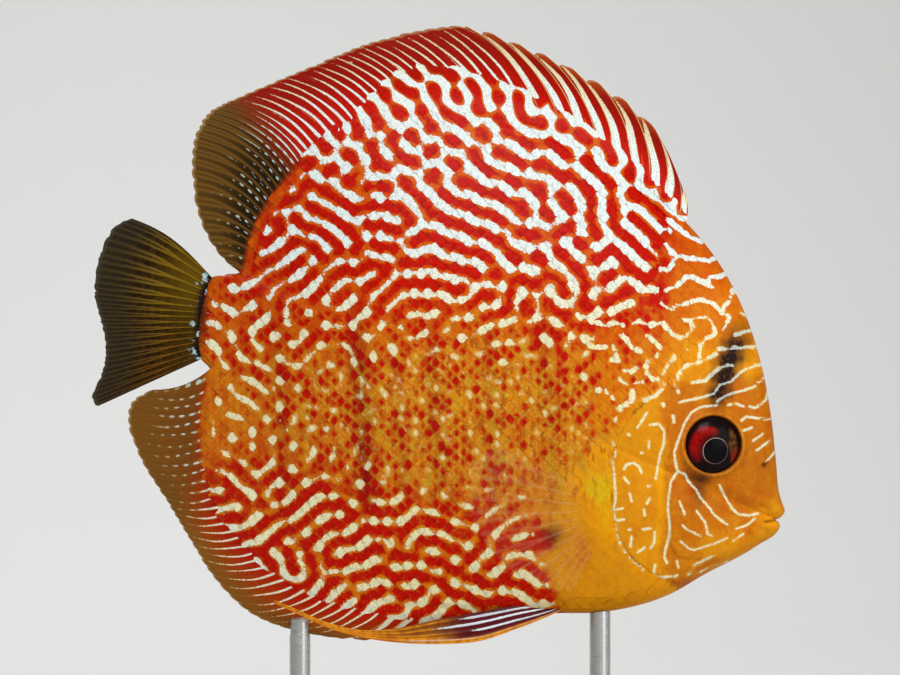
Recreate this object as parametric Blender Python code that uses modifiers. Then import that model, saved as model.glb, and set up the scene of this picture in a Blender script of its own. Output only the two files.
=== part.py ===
"""Life-size model of an adult discus fish, nose a little down, on a two-rod display stand.

The fish swims towards +X with its mirror plane at y = 0, and its right flank faces -Y.
The tables are in millimetres from a point amidships, which stands LIFT above the floor.
"""

import math

import bmesh
import bpy
import numpy as np
from mathutils import Matrix, Vector

MM = 0.001
LIFT = 105.0  # height of the fish's own zero above the floor
GAP = 0.3  # clearance between neighbouring pieces
RIGHT, LEFT = -1, 1  # the sides of the fish, as signs of y

# Outline of the flesh without fins, from the upper lip over the back to the tail and
# home along the belly: x, z, and half the thickness of the rounded edge there.
OUTLINE = [
    (75.6, -38.0, 3.2), (75.5, -34.2, 3.2), (75.0, -28.6, 3.4), (73.8, -17.8, 3.5),
    (71.7, -6.6, 3.5), (68.0, 5.2, 3.4), (62.6, 16.0, 3.1), (55.7, 25.0, 2.6),
    (47.1, 33.0, 2.1), (36.8, 40.6, 1.9), (24.2, 46.6, 1.8), (11.5, 50.0, 1.7),
    (0.0, 51.2, 1.7), (-11.5, 50.5, 1.6), (-21.9, 47.7, 1.6), (-30.4, 42.9, 1.6),
    (-37.3, 36.2, 1.6), (-42.8, 28.4, 1.6), (-45.8, 21.5, 1.7), (-47.4, 15.6, 2.0),
    (-51.1, 14.4, 2.3), (-55.0, 13.7, 1.7), (-56.8, 8.6, 1.4), (-57.8, 3.6, 1.4),
    (-58.0, -1.7, 1.4), (-57.3, -4.9, 1.6), (-55.0, -7.8, 1.9), (-55.9, -14.4, 1.6),
    (-56.6, -21.3, 1.5), (-55.4, -29.3, 1.5), (-52.4, -37.4, 1.6), (-46.9, -45.2, 1.7),
    (-38.0, -52.6, 1.8), (-26.5, -58.3, 1.9), (-13.8, -61.5, 2.2), (-2.3, -63.0, 2.6),
    (11.5, -63.6, 3.2), (25.3, -63.4, 3.8), (34.5, -63.2, 4.2), (43.7, -61.5, 4.4),
    (51.1, -58.8, 4.4), (58.7, -54.4, 4.2), (66.7, -50.3, 3.8), (71.6, -47.3, 3.3),
    (74.4, -44.6, 3.0), (75.4, -41.6, 3.0),
]
HEART = (0.0, -8.6)  # point the outline's rings shrink towards
AROUND = 76  # points round each ring
RIM_RINGS = (0.0, 0.14, 0.45, 1.0)  # depth of the outer rings, as a share of the rim's radius
INNER_RINGS = (0.85, 0.65, 0.42, 0.2)  # the other rings, as shares of the innermost rim ring
SOFTENED = 26.0  # degrees over which the outline's bends fade from the flanks
# Fullness of the flanks along the body: x, and half the thickness the flank swells towards.
FULLNESS = [
    (-58.0, 4.4), (-45.0, 7.6), (-30.0, 10.4), (-15.0, 12.2), (0.0, 13.0),
    (15.0, 14.2), (30.0, 16.4), (42.0, 18.4), (55.0, 18.4), (65.0, 18.0), (76.0, 16.0),
]
SWELL_TAIL, SWELL_HEAD = 1.0, 0.8  # how sharply the flank rises from its rim, aft and forward

# Rear margin of the gill covers, from their top corner down to the throat.
GILL_REAR = [
    (44.0, -15.4), (40.0, -19.6), (37.5, -25.4), (36.7, -32.4), (36.9, -38.5),
    (37.9, -43.6), (39.6, -47.7), (42.6, -51.4), (46.8, -54.2),
]
GILL_FRONT = [(50.4, -53.4), (49.8, -48.8), (48.6, -43.0), (47.8, -36.0), (48.0, -28.6), (48.6, -21.6), (47.4, -16.8)]
GILL_RAISED, GILL_DEPTH = 0.5, 2.2
NAPE_SEAM = [(60.6, 22.0), (51.4, 10.0), (46.4, -4.0)]  # head meets trunk, above the gill covers
THROAT_SEAM = [(49.4, -60.0), (49.8, -68.0)]
TAIL_SEAM = [(-50.6, 24.0), (-47.6, 13.0), (-46.6, 4.0), (-48.2, -2.6), (-52.0, -6.2), (-62.0, -7.2)]

EYE_AT = (60.5, -24.7)
EYE_RADIUS, EYE_DEPTH, EYE_PROUD = 7.0, 3.5, 1.7
ORBIT_RADIUS, ORBIT_WIRE = 6.8, 0.7
NOSTRIL_AT, NOSTRIL_RADIUS, NOSTRIL_DEPTH = (72.0, -29.3), 0.75, 1.0
MUZZLE = ((71.3, -41.8), (4.2, 4.6, 3.4))  # centre, and radii along, across and up
UPPER_LIP = ((73.4, -39.8), (3.6, 4.5, 2.0))
LOWER_LIP = ((72.4, -43.8), (3.6, 4.2, 1.9))
JAW_CORNER = ((69.4, -43.3), (3.2, 5.7, 1.5))
LIPS = {"muzzle": MUZZLE, "upper_lip": UPPER_LIP, "lower_lip": LOWER_LIP, "jaw_corner": JAW_CORNER}
MOUTH_LINE = [(79.5, -41.4), (72.2, -42.0), (71.4, -42.2), (72.2, -42.4), (79.5, -41.9)]

# Rays of the fins in order from the first: share of the fin's base, then the tip's x and z.
DORSAL_BASE = (7.1, 19.3)  # first and last place on the outline, counted in its own points
DORSAL_TIPS = [
    (0.0, 54.9, 30.4), (0.045, 52.2, 40.0), (0.09, 47.6, 47.4), (0.15, 39.8, 55.0), (0.22, 28.6, 61.8),
    (0.30, 15.6, 67.6), (0.37, 3.6, 71.6), (0.46, -8.4, 70.4), (0.55, -19.6, 67.4), (0.66, -33.4, 61.8),
    (0.77, -48.4, 55.4), (0.83, -55.2, 52.0), (0.875, -58.7, 46.2), (0.915, -59.5, 37.6),
    (0.945, -58.3, 29.2), (0.97, -55.6, 22.6), (0.985, -53.0, 18.8), (1.0, -50.4, 16.4),
]
ANAL_BASE = (35.9, 25.7)
ANAL_TIPS = [
    (0.0, 13.6, -65.4), (0.06, 5.6, -67.2), (0.12, -3.6, -69.2), (0.19, -14.6, -69.9), (0.28, -27.4, -69.0),
    (0.38, -39.2, -66.4), (0.46, -47.4, -62.4), (0.54, -54.6, -54.8), (0.63, -60.6, -45.2), (0.72, -65.6, -37.0),
    (0.81, -71.2, -28.0), (0.88, -74.0, -20.2), (0.94, -73.4, -15.0), (1.0, -69.0, -12.0),
]
TAIL_BASE = (20.9, 25.2)
TAIL_TIPS = [
    (0.0, -73.4, 27.6), (0.08, -77.6, 25.2), (0.19, -80.8, 18.6), (0.34, -81.9, 10.4), (0.5, -80.7, 4.6),
    (0.66, -79.4, -1.0), (0.8, -79.8, -7.4), (0.92, -81.8, -12.6), (1.0, -80.6, -15.4),
]
DORSAL_SPINES, DORSAL_SOFT = 9, 31
ANAL_SPINES, ANAL_SOFT = 7, 29
TAIL_RAYS = 16
FIN_BEND = 0.13  # how far a ray bows towards the head, as a share of its length
FIN_ROWS = (0.0, 0.24, 0.6, 1.0)
ROOT_SINK = 3.0  # how deep a fin's stock starts inside the flesh before it is cut to fit
WEB, RAY_ROOT, RAY_TIP = 0.27, 0.34, 0.08  # half thickness of the web, and how far a ray stands from it
SPINE_EXTRA = 0.16  # how much more a hard spine stands from the web
ROOT_FLARE = 0.75  # extra half thickness where a fin leaves the body
LAPPET = 1.9  # how far a spine's tip reaches past the web behind it
SCALLOP = 0.25  # the same for a soft ray

# Pelvic fin, laid back along the belly: x, z of its lower edge, z of its upper edge, and y.
PELVIC = [
    (27.6, -61.6, -59.2, 2.4), (22.0, -64.2, -60.6, 3.6), (14.6, -67.0, -61.4, 4.7), (6.4, -69.6, -62.8, 5.3),
    (-3.0, -70.2, -64.6, 5.3), (-12.0, -69.9, -66.6, 4.9), (-21.0, -68.6, -67.0, 4.5),
    (-29.0, -66.2, -65.0, 4.2), (-35.4, -63.2, -62.2, 4.0), (-40.4, -60.9, -60.1, 3.9),
]
PELVIC_RAYS, PELVIC_ROWS, PELVIC_WEB, PELVIC_RAY = 5, 11, 0.27, 0.3

# Pectoral fin: foot of the fan behind the gill cover, then each ray's length and angles.
PECTORAL_FOOT = [(33.6, -36.4), (32.8, -46.0)]
PECTORAL_RAYS = 11
PECTORAL_LENGTHS = [(0.0, 28.0), (0.12, 34.0), (0.35, 31.0), (0.65, 23.0), (1.0, 13.0)]
PECTORAL_RISE = (26.0, -62.0)  # degrees above straight back, first ray and last
PECTORAL_SPREAD = 21.0  # degrees the fan stands out from the flank
PECTORAL_CUP = 2.2  # how far the fan's tips curl outwards

# Stand: a rounded slab, a front rod under the chest, and a rear rod forked round the anal fin.
SLAB = (112.0, 60.0, 8.0)
SLAB_CORNER, SLAB_EDGE = 9.0, 1.2
FRONT_ROD_X, REAR_ROD_X = 34.5, -34.5
ROD_RADIUS, COLLAR_RADIUS, COLLAR_HEIGHT = 2.4, 4.6, 3.0
REAR_ROD_TOP, FORK_FLOOR = -64.3, -68.5
FORK_SLOT = 1.9

COLOURS = {
    "skin": ((0.80, 0.30, 0.04), 0.38, 0.0),
    "gill": ((0.82, 0.38, 0.05), 0.36, 0.0),
    "fin": ((0.55, 0.09, 0.03), 0.42, 0.0),
    "tail_fin": ((0.22, 0.15, 0.05), 0.45, 0.0),
    "clear_fin": ((0.85, 0.62, 0.25), 0.40, 0.0),
    "eye": ((0.30, 0.01, 0.01), 0.08, 0.0),
    "slab": ((0.05, 0.035, 0.025), 0.45, 0.0),
    "rod": ((0.62, 0.62, 0.63), 0.25, 1.0),
}


def through(points, closed=False, per_span=14):
    """A dense smooth curve through rows of x, z and anything else, as cubic spans."""
    rows = np.asarray(points, float)
    if closed:
        rows = np.vstack([rows[-1:], rows, rows[:2]])
    else:
        rows = np.vstack([2 * rows[0] - rows[1], rows, 2 * rows[-1] - rows[-2]])
    steps = np.sqrt(np.linalg.norm(np.diff(rows[:, :2], axis=0), axis=1))
    knots = np.concatenate([[0.0], np.cumsum(steps)])
    slopes = (rows[2:] - rows[:-2]) / (knots[2:] - knots[:-2])[:, None]
    t = np.linspace(0, 1, per_span, endpoint=False)[:, None]
    spans = []
    for i in range(len(slopes) - 1):
        width = knots[i + 2] - knots[i + 1]
        spans.append(
            rows[i + 1] * (1 + 2 * t) * (1 - t) ** 2
            + slopes[i] * width * t * (1 - t) ** 2
            + rows[i + 2] * t**2 * (3 - 2 * t)
            + slopes[i + 1] * width * t**2 * (t - 1)
        )
    if not closed:
        spans.append(rows[-2:-1])
    return np.vstack(spans)


def at_shares(curve, shares):
    """Rows of a dense curve at these shares of its length."""
    lengths = np.linalg.norm(np.diff(curve[:, :2], axis=0), axis=1)
    run = np.concatenate([[0.0], np.cumsum(lengths)])
    places = np.asarray(shares) * run[-1]
    return np.stack([np.interp(places, run, column) for column in curve.T], axis=1)


BODY_CURVE = through(OUTLINE, closed=True)


def outward(curve):
    """Unit normals of a closed x, z curve that runs anticlockwise."""
    along = np.roll(curve[:, :2], -1, axis=0) - np.roll(curve[:, :2], 1, axis=0)
    along /= np.linalg.norm(along, axis=1)[:, None]
    return np.stack([along[:, 1], -along[:, 0]], axis=1)


def grown(grow):
    """The body's outline moved out by `grow`, and its rim made as much thicker."""
    curve = BODY_CURVE.copy()
    curve[:, :2] += grow * outward(curve)
    curve[:, 2] += grow
    return curve


def spokes(curve):
    """Angle round HEART, reach, softened reach and rim of an outline, sorted by angle."""
    arms = curve[:, :2] - HEART
    angle = np.arctan2(arms[:, 1], arms[:, 0])
    order = np.argsort(angle)
    angle, reach, rim = angle[order], np.linalg.norm(arms, axis=1)[order], curve[order, 2]
    even = np.linspace(-math.pi, math.pi, 361)[:-1]
    level = np.interp(even, angle, reach, period=math.tau)
    apart = np.minimum(np.arange(360), 360 - np.arange(360)) / SOFTENED
    bell = np.exp(-(apart**2))
    soft = np.real(np.fft.ifft(np.fft.fft(level) * np.fft.fft(bell / bell.sum())))
    return angle, reach, np.interp(angle, even, soft, period=math.tau), rim


def flank(radius, reach, soft, rim, x, grow=0.0):
    """Half thickness where the ray from HEART to the outline has gone `radius` of its `reach`."""
    depth = np.maximum(reach - radius, 0.0)
    rounded = rim * np.sqrt(np.clip(1 - np.maximum(0, 1 - depth / rim) ** 2, 0, 1))
    full = np.interp(x, *np.transpose(FULLNESS)) + grow
    sharpness = np.interp(x, (-20.0, 40.0), (SWELL_TAIL, SWELL_HEAD))
    share = np.clip(radius / reach, 0, 1)
    share = share * (1 + (reach / soft - 1) * (1 - share**2))
    return rounded + (full - rim) * np.cos(math.pi / 2 * np.clip(share, 0, 1)) ** sharpness


def half_thickness(x, z, grow=0.0):
    """Half thickness of the flesh at a place on the flank."""
    angle, *tables = spokes(grown(grow))
    here = math.atan2(z - HEART[1], x - HEART[0])
    reach, soft, rim = (np.interp(here, angle, table, period=math.tau) for table in tables)
    return float(flank(math.hypot(x - HEART[0], z - HEART[1]), reach, soft, rim, x, grow))


def flank_normal(x, z, side):
    """Unit normal of the flank at a place, as a vector of x, y, z."""
    step = 0.5
    rise_x = (half_thickness(x + step, z) - half_thickness(x - step, z)) / (2 * step)
    rise_z = (half_thickness(x, z + step) - half_thickness(x, z - step)) / (2 * step)
    return Vector((-rise_x, side, -rise_z)).normalized()


def place(x, y, z):
    """Millimetres of the fish's tables as metres above the floor."""
    return Vector((x, y, z + LIFT)) * MM


def material(slot):
    found = bpy.data.materials.get(slot)
    if found:
        return found
    colour, roughness, metallic = COLOURS[slot]
    made = bpy.data.materials.new(slot)
    made.use_nodes = True
    shader = made.node_tree.nodes["Principled BSDF"]
    shader.inputs["Base Color"].default_value = (*colour, 1.0)
    shader.inputs["Roughness"].default_value = roughness
    shader.inputs["Metallic"].default_value = metallic
    made.diffuse_color = (*colour, 1.0)
    return made


def collection(name, hidden=False):
    found = bpy.data.collections.get(name)
    if not found:
        found = bpy.data.collections.new(name)
        bpy.context.scene.collection.children.link(found)
        found.hide_render = hidden
    return found


def add(name, mesh, slot=None, helper=False):
    """A new object of this mesh, as a part of the fish or as a hidden helper."""
    made = bpy.data.objects.new(name, mesh)
    collection("helpers" if helper else "discus_fish", hidden=helper).objects.link(made)
    if helper:
        made.hide_render = True
        made.display_type = "WIRE"
    if slot:
        mesh.materials.clear()
        mesh.materials.append(material(slot))
    return made


def mesh_from(bm, name):
    bmesh.ops.recalc_face_normals(bm, faces=bm.faces)
    mesh = bpy.data.meshes.new(name)
    bm.to_mesh(mesh)
    bm.free()
    return mesh


def drop(*objects):
    for obj in objects:
        bpy.data.objects.remove(obj)


def settle(obj):
    """Makes an object's modifiers part of its mesh."""
    graph = bpy.context.evaluated_depsgraph_get()
    mesh = bpy.data.meshes.new_from_object(obj.evaluated_get(graph))
    obj.modifiers.clear()
    obj.data = mesh


def cut(obj, cutter, keep_inside=False):
    """Takes the cutter out of obj, or keeps only what lies inside it."""
    knife = obj.modifiers.new("cut", "BOOLEAN")
    knife.operation = "INTERSECT" if keep_inside else "DIFFERENCE"
    knife.object = cutter
    knife.solver = "EXACT"
    settle(obj)


def fuse(obj, extras):
    """Joins closed pieces to obj with one union, and removes them."""
    pieces = bpy.data.collections.new("pieces")
    bpy.context.scene.collection.children.link(pieces)
    for extra in extras:
        pieces.objects.link(extra)
    join = obj.modifiers.new("join", "BOOLEAN")
    join.operation = "UNION"
    join.operand_type = "COLLECTION"
    join.collection = pieces
    join.solver = "EXACT"
    settle(obj)
    drop(*extras)
    bpy.data.collections.remove(pieces)


def loose_parts(mesh):
    """The mesh's separate closed surfaces, each as a mesh of its own, largest first."""
    bm = bmesh.new()
    bm.from_mesh(mesh)
    bm.faces.ensure_lookup_table()
    unseen, groups = set(bm.faces), []
    while unseen:
        group, edge_of = set(), [unseen.pop()]
        while edge_of:
            face = edge_of.pop()
            group.add(face.index)
            for near in {f for e in face.edges for f in e.link_faces} & unseen:
                unseen.discard(near)
                edge_of.append(near)
        groups.append(group)
    bm.free()
    parts = []
    for group in groups:
        part = bmesh.new()
        part.from_mesh(mesh)
        others = [face for face in part.faces if face.index not in group]
        bmesh.ops.delete(part, geom=others, context="FACES")
        volume = abs(part.calc_volume())
        made = bpy.data.meshes.new(mesh.name)
        part.to_mesh(made)
        part.free()
        parts.append((volume, made))
    parts.sort(key=lambda pair: -pair[0])
    return [made for volume, made in parts]


def keep_largest(obj):
    slots = list(obj.data.materials)
    obj.data = loose_parts(obj.data)[0]
    obj.data.materials.clear()
    for slot in slots:
        obj.data.materials.append(slot)


def slab_through(name, outline, near, far):
    """A hidden prism with this x, z outline, from y = near to y = far."""
    curve = bpy.data.curves.new(name, "CURVE")
    curve.dimensions = "2D"
    curve.fill_mode = "BOTH"
    curve.extrude = abs(far - near) / 2 * MM
    spline = curve.splines.new("POLY")
    spline.points.add(len(outline) - 1)
    for point, (x, z) in zip(spline.points, outline):
        point.co = (x * MM, z * MM, 0, 1)
    spline.use_cyclic_u = True
    flat = bpy.data.objects.new(name, curve)
    bpy.context.scene.collection.objects.link(flat)
    graph = bpy.context.evaluated_depsgraph_get()
    mesh = bpy.data.meshes.new_from_object(flat.evaluated_get(graph))
    bpy.data.objects.remove(flat)
    upright = Matrix.Rotation(math.pi / 2, 4, "X")
    mesh.transform(Matrix.Translation(place(0, (near + far) / 2, 0)) @ upright)
    bm = bmesh.new()
    bm.from_mesh(mesh)
    bmesh.ops.remove_doubles(bm, verts=bm.verts, dist=1e-6)
    return add(name, mesh_from(bm, name), helper=True)


def ribbon(line, width):
    """Outline of a band of this width that follows an open x, z line."""
    line = np.asarray(line, float)
    along = np.gradient(line, axis=0)
    along /= np.linalg.norm(along, axis=1)[:, None]
    across = np.stack([-along[:, 1], along[:, 0]], axis=1) * width / 2
    return np.vstack([line + across, (line - across)[::-1]])


def flesh(name, grow=0.0, swell=0.0):
    """The whole fish without fins: rings of the outline that shrink to HEART on both flanks.

    grow moves the whole surface out, and swell moves the flanks alone.
    """
    curve = grown(grow)
    edge = at_shares(np.vstack([curve, curve[:1]]), np.arange(AROUND) / AROUND)
    heart = np.array(HEART)
    angle, far, near, rims = spokes(curve)
    arms = edge[:, :2] - heart
    reach, rim = np.linalg.norm(arms, axis=1), edge[:, 2]
    soft = np.interp(np.arctan2(arms[:, 1], arms[:, 0]), angle, near, period=math.tau)
    radii = [reach - rim * depth for depth in RIM_RINGS]
    radii += [(reach - rim) * share for share in INNER_RINGS]
    bm = bmesh.new()
    loops = {RIGHT: [], LEFT: []}
    for number, radius in enumerate(radii):
        at = heart + (edge[:, :2] - heart) * (radius / reach)[:, None]
        thick = flank(radius, reach, soft, rim, at[:, 0], grow) + (swell if number > 2 else 0)
        for side in (RIGHT, LEFT):
            if number == 0 and side == LEFT:
                loops[LEFT].append(loops[RIGHT][0])
                continue
            y = np.zeros(AROUND) if number == 0 else side * thick
            loops[side].append([bm.verts.new(place(x, yy, z)) for (x, z), yy in zip(at, y)])
    for side, rings in loops.items():
        for outer, inner in zip(rings, rings[1:]):
            for i in range(AROUND):
                j = (i + 1) % AROUND
                bm.faces.new((outer[i], outer[j], inner[j], inner[i])[::side])
        full = half_thickness(*HEART, grow=grow) + swell
        tip = bm.verts.new(place(heart[0], side * full, heart[1]))
        for i in range(AROUND):
            bm.faces.new((rings[-1][i], rings[-1][(i + 1) % AROUND], tip)[::side])
    bmesh.ops.triangulate(bm, faces=bm.faces, quad_method="SHORT_EDGE")
    return add(name, mesh_from(bm, name), helper=True)


def ball(name, centre, radii, facing=Vector((0, 1, 0)), segments=20, rings=10):
    """A hidden ellipsoid in metres whose middle radius points along `facing`."""
    bm = bmesh.new()
    bmesh.ops.create_uvsphere(bm, u_segments=segments, v_segments=rings, radius=1.0)
    turn = facing.to_track_quat("Z", "X").to_matrix().to_4x4()
    along, across, up = (r * MM for r in radii)
    size = Matrix.Diagonal((along, up, across, 1.0))
    bm.transform(Matrix.Translation(centre) @ turn @ size)
    return add(name, mesh_from(bm, name), helper=True)


def gill_outline(grow):
    """Outline of a gill cover, with its rear margin moved back by `grow`."""
    rear = at_shares(through(GILL_REAR), np.linspace(0, 1, 14))
    front = at_shares(through(GILL_FRONT), np.linspace(0, 1, 9))
    outline = np.vstack([rear, front])
    if not grow:
        return outline
    normals = outward(outline)
    return outline + grow * normals


def gill_cover(side):
    """One gill cover: the outer skin of the head inside its outline, a little raised."""
    name = "gill_cover_right" if side == RIGHT else "gill_cover_left"
    cover = flesh(name, swell=GILL_RAISED)
    cover.name = name
    outline = slab_through("gill_slab", gill_outline(0.0), side * 2.0, side * 24.0)
    bed = flesh("gill_bed", swell=-GILL_DEPTH)
    cut(cover, outline, keep_inside=True)
    cut(cover, bed)
    drop(outline, bed)
    keep_largest(cover)
    collection("helpers").objects.unlink(cover)
    collection("discus_fish").objects.link(cover)
    cover.hide_render = False
    cover.data.materials.clear()
    cover.data.materials.append(material("gill"))
    return cover


def take_gill_beds(whole):
    """Sinks the two beds that the gill covers lie in, with clearance all round."""
    for side in (RIGHT, LEFT):
        bed = slab_through("bed_slab", gill_outline(GAP), side * 2.0, side * 24.0)
        inner = flesh("bed_floor", swell=-GILL_DEPTH - GAP)
        cut(bed, inner)
        cut(whole, bed)
        drop(bed, inner)


def eye_seat(side, grow=0.0, name="eye_seat"):
    """The ellipsoid of an eye, its short axis square to the flank."""
    x, z = EYE_AT
    facing = flank_normal(x, z, side)
    surface = place(x, side * half_thickness(x, z), z)
    centre = surface + facing * (EYE_PROUD - EYE_DEPTH) * MM
    radii = (EYE_RADIUS + grow, EYE_DEPTH + grow, EYE_RADIUS + grow)
    return ball(name, centre, radii, facing, segments=20, rings=10)


def ring_round_eye(side):
    """The fold of skin that rims the eye, as a wire ring lying in the flank."""
    x, z = EYE_AT
    facing = flank_normal(x, z, side)
    surface = place(x, side * half_thickness(x, z), z) - facing * 0.25 * MM
    bpy.ops.mesh.primitive_torus_add(
        major_radius=ORBIT_RADIUS * MM, minor_radius=ORBIT_WIRE * MM, major_segments=28, minor_segments=6
    )
    ring = bpy.context.object
    mesh = ring.data
    mesh.transform(Matrix.Translation(surface) @ facing.to_track_quat("Z", "X").to_matrix().to_4x4())
    bpy.data.objects.remove(ring)
    return add("eye_ring", mesh, helper=True)


def nostril_drill(side):
    """A short round pin that drills a nostril square to the snout."""
    x, z = NOSTRIL_AT
    facing = flank_normal(x, z, side)
    mouth = place(x, side * half_thickness(x, z), z)
    bm = bmesh.new()
    bmesh.ops.create_cone(
        bm,
        cap_ends=True,
        segments=10,
        radius1=NOSTRIL_RADIUS * MM,
        radius2=NOSTRIL_RADIUS * MM,
        depth=2 * NOSTRIL_DEPTH * MM,
    )
    bm.transform(Matrix.Translation(mouth) @ facing.to_track_quat("Z", "X").to_matrix().to_4x4())
    return add("nostril_drill", mesh_from(bm, "nostril_drill"), helper=True)


def lip(name, shape):
    (x, z), radii = shape
    return ball(name, place(x, 0, z), radii, segments=16, rings=8)


def head_trunk_and_tail_stem():
    """The flesh, cut into head, trunk and tail stem, with eyes' sockets, lips and nostrils."""
    whole = flesh("whole")
    take_gill_beds(whole)
    gill_edge = at_shares(through(GILL_REAR), np.linspace(0, 1, 14)) - np.array([GAP, 0.0])
    head_seam = np.vstack([NAPE_SEAM, gill_edge, THROAT_SEAM])
    top = 2 * head_seam[0] - head_seam[1]
    seams = [ribbon(np.vstack([top, head_seam]), GAP), ribbon(TAIL_SEAM, GAP)]
    for seam in seams:
        wall = slab_through("seam_wall", seam, -30.0, 30.0)
        cut(whole, wall)
        drop(wall)
    parts = loose_parts(whole.data)[:3]
    drop(whole)
    parts.sort(key=lambda mesh: sum(v.co.x for v in mesh.vertices) / len(mesh.vertices))
    names = ("tail_stem", "trunk", "head")
    stem, trunk, head = (add(name, mesh, "skin") for name, mesh in zip(names, parts))
    lips = [lip(name, shape) for name, shape in LIPS.items()]
    fuse(head, lips + [ring_round_eye(side) for side in (RIGHT, LEFT)])
    mouth = slab_through("mouth_line", MOUTH_LINE, -12.0, 12.0)
    cut(head, mouth)
    drop(mouth)
    for side in (RIGHT, LEFT):
        for tool in (eye_seat(side, GAP), nostril_drill(side)):
            cut(head, tool)
            drop(tool)
    keep_largest(head)
    return head, trunk, stem


def eyes():
    for side, name in ((RIGHT, "eye_right"), (LEFT, "eye_left")):
        seat = eye_seat(side)
        add(name, seat.data, "eye")
        drop(seat)


def sheet(name, grid, half, slot):
    """A closed thin sheet round a grid of points, thickened along its own normals.

    Both faces are split into triangles alike, so that they never cross.
    """
    columns, rows = grid.shape[:2]
    normals = np.cross(np.gradient(grid, axis=0), np.gradient(grid, axis=1))
    normals /= np.linalg.norm(normals, axis=2)[..., None]
    bm = bmesh.new()
    faces = []
    for sign in (1, -1):
        points = (grid + sign * half[..., None] * normals).reshape(-1, 3)
        faces.append([bm.verts.new(place(*point)) for point in points])
    front, back = faces
    for i in range(columns - 1):
        for j in range(rows - 1):
            a, b = i * rows + j, (i + 1) * rows + j
            for corners in ((a, b, b + 1), (a, b + 1, a + 1)):
                bm.faces.new([front[k] for k in corners])
                bm.faces.new([back[k] for k in reversed(corners)])
    rim = [i * rows for i in range(columns)]
    rim += [(columns - 1) * rows + j for j in range(1, rows)]
    rim += [i * rows + rows - 1 for i in reversed(range(columns - 1))]
    rim += [j for j in reversed(range(1, rows - 1))]
    for p, q in zip(rim, rim[1:] + rim[:1]):
        bm.faces.new((front[q], front[p], back[p]))
        bm.faces.new((front[q], back[p], back[q]))
    return add(name, mesh_from(bm, name), slot)


def outline_between(first, last):
    """The stretch of the body's outline from one of its points to another, either way round."""
    count = len(BODY_CURVE) / len(OUTLINE)
    low, high = sorted((first, last))
    stretch = BODY_CURVE[round(low * count) : round(high * count) + 1]
    return stretch if first < last else stretch[::-1]


def fin_frame(base, tips, shares, sunk):
    """Feet and tips of a fin's rays at these shares of its base, the feet sunk in the flesh."""
    feet = at_shares(outline_between(*base), shares)[:, :2]
    along = np.gradient(feet, axis=0)
    along /= np.linalg.norm(along, axis=1)[:, None]
    ends = through([(x, z, share) for share, x, z in tips], per_span=20)
    ends = np.stack([np.interp(shares, ends[:, 2], ends[:, k]) for k in (0, 1)], axis=1)
    rays = ends - feet
    square = np.stack([along[:, 1], -along[:, 0]], axis=1)
    square *= np.sign(np.sum(square * rays, axis=1, keepdims=True))
    return feet - sunk * square, ends


def ridged(first, last, total):
    """Shares of the base for valleys and crests of rays first to last, and which are crests."""
    places = np.arange(2 * first, 2 * last + 1) / (2 * total)
    crests = (np.arange(2 * first, 2 * last + 1) % 2).astype(float)
    return places, crests


def median_fin(name, base, tips, total, first, last, spines):
    """Part of the dorsal or anal fin: rays first to last of `total`, the first `spines` hard."""
    shares, crests = ridged(first, last, total)
    feet, ends = fin_frame(base, tips, shares, ROOT_SINK)
    rays = ends - feet
    length = np.linalg.norm(rays, axis=1)[:, None]
    hard = (shares * total < spines).astype(float)
    notch = np.where(hard > 0, LAPPET, SCALLOP) * (1 - crests)
    ends = ends - rays / length * np.minimum(notch, 0.3 * length[:, 0])[:, None]
    rays = ends - feet
    ahead = np.stack([-rays[:, 1], rays[:, 0]], axis=1)
    ahead *= np.where(ahead[:, :1] < 0, -1.0, 1.0)
    middle = feet + rays / 2 + FIN_BEND * ahead
    rows = np.array(FIN_ROWS)
    t = rows[None, :, None]
    flat = (1 - t) ** 2 * feet[:, None] + 2 * t * (1 - t) * middle[:, None] + t**2 * ends[:, None]
    square = ahead / length
    if first > 0:
        flat[0] -= 0.6 * GAP * square[0]
    if last < total:
        flat[-1] += 0.6 * GAP * square[-1]
    grid = np.stack([flat[..., 0], np.zeros(flat.shape[:2]), flat[..., 1]], axis=2)
    stand = RAY_ROOT + (RAY_TIP - RAY_ROOT) * rows[None]
    stand = stand + SPINE_EXTRA * hard[:, None] * (1 - 0.6 * rows[None])
    root = ROOT_FLARE * np.clip(1 - rows[None] / 0.4, 0, 1) ** 1.5
    half = WEB + crests[:, None] * stand + root
    return sheet(name, grid, half, "fin")


def tail_fin():
    """The tail fin: a fan of rays that fork halfway out, with a faint sideways sweep."""
    steps = 4 * TAIL_RAYS
    shares = np.arange(steps + 1) / steps
    feet, ends = fin_frame(TAIL_BASE, TAIL_TIPS, shares, 2.0)
    rows = np.linspace(0, 1, 5)
    t = rows[None, :, None]
    rays = ends - feet
    length = np.linalg.norm(rays, axis=1)[:, None]
    kind = np.arange(steps + 1) % 4
    ends = ends - rays / length * (0.35 * (kind == 0))[:, None]
    flat = feet[:, None] * (1 - t) + ends[:, None] * t
    sweep = -0.9 * np.sin(math.pi * rows)[None] * np.ones((steps + 1, 1))
    grid = np.stack([flat[..., 0], sweep, flat[..., 1]], axis=2)
    forked = np.clip((rows - 0.35) / 0.25, 0, 1)
    crown = {0: 0 * rows, 1: 0.55 + 0.35 * forked, 2: 1 - 0.75 * forked, 3: 0.55 + 0.35 * forked}
    height = np.array([crown[k] for k in kind]) * (RAY_ROOT - (RAY_ROOT - RAY_TIP) * rows)
    root = 0.7 * np.clip(1 - rows / 0.3, 0, 1)
    return sheet("caudal_fin", grid, WEB + height + root[None], "tail_fin")


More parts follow.
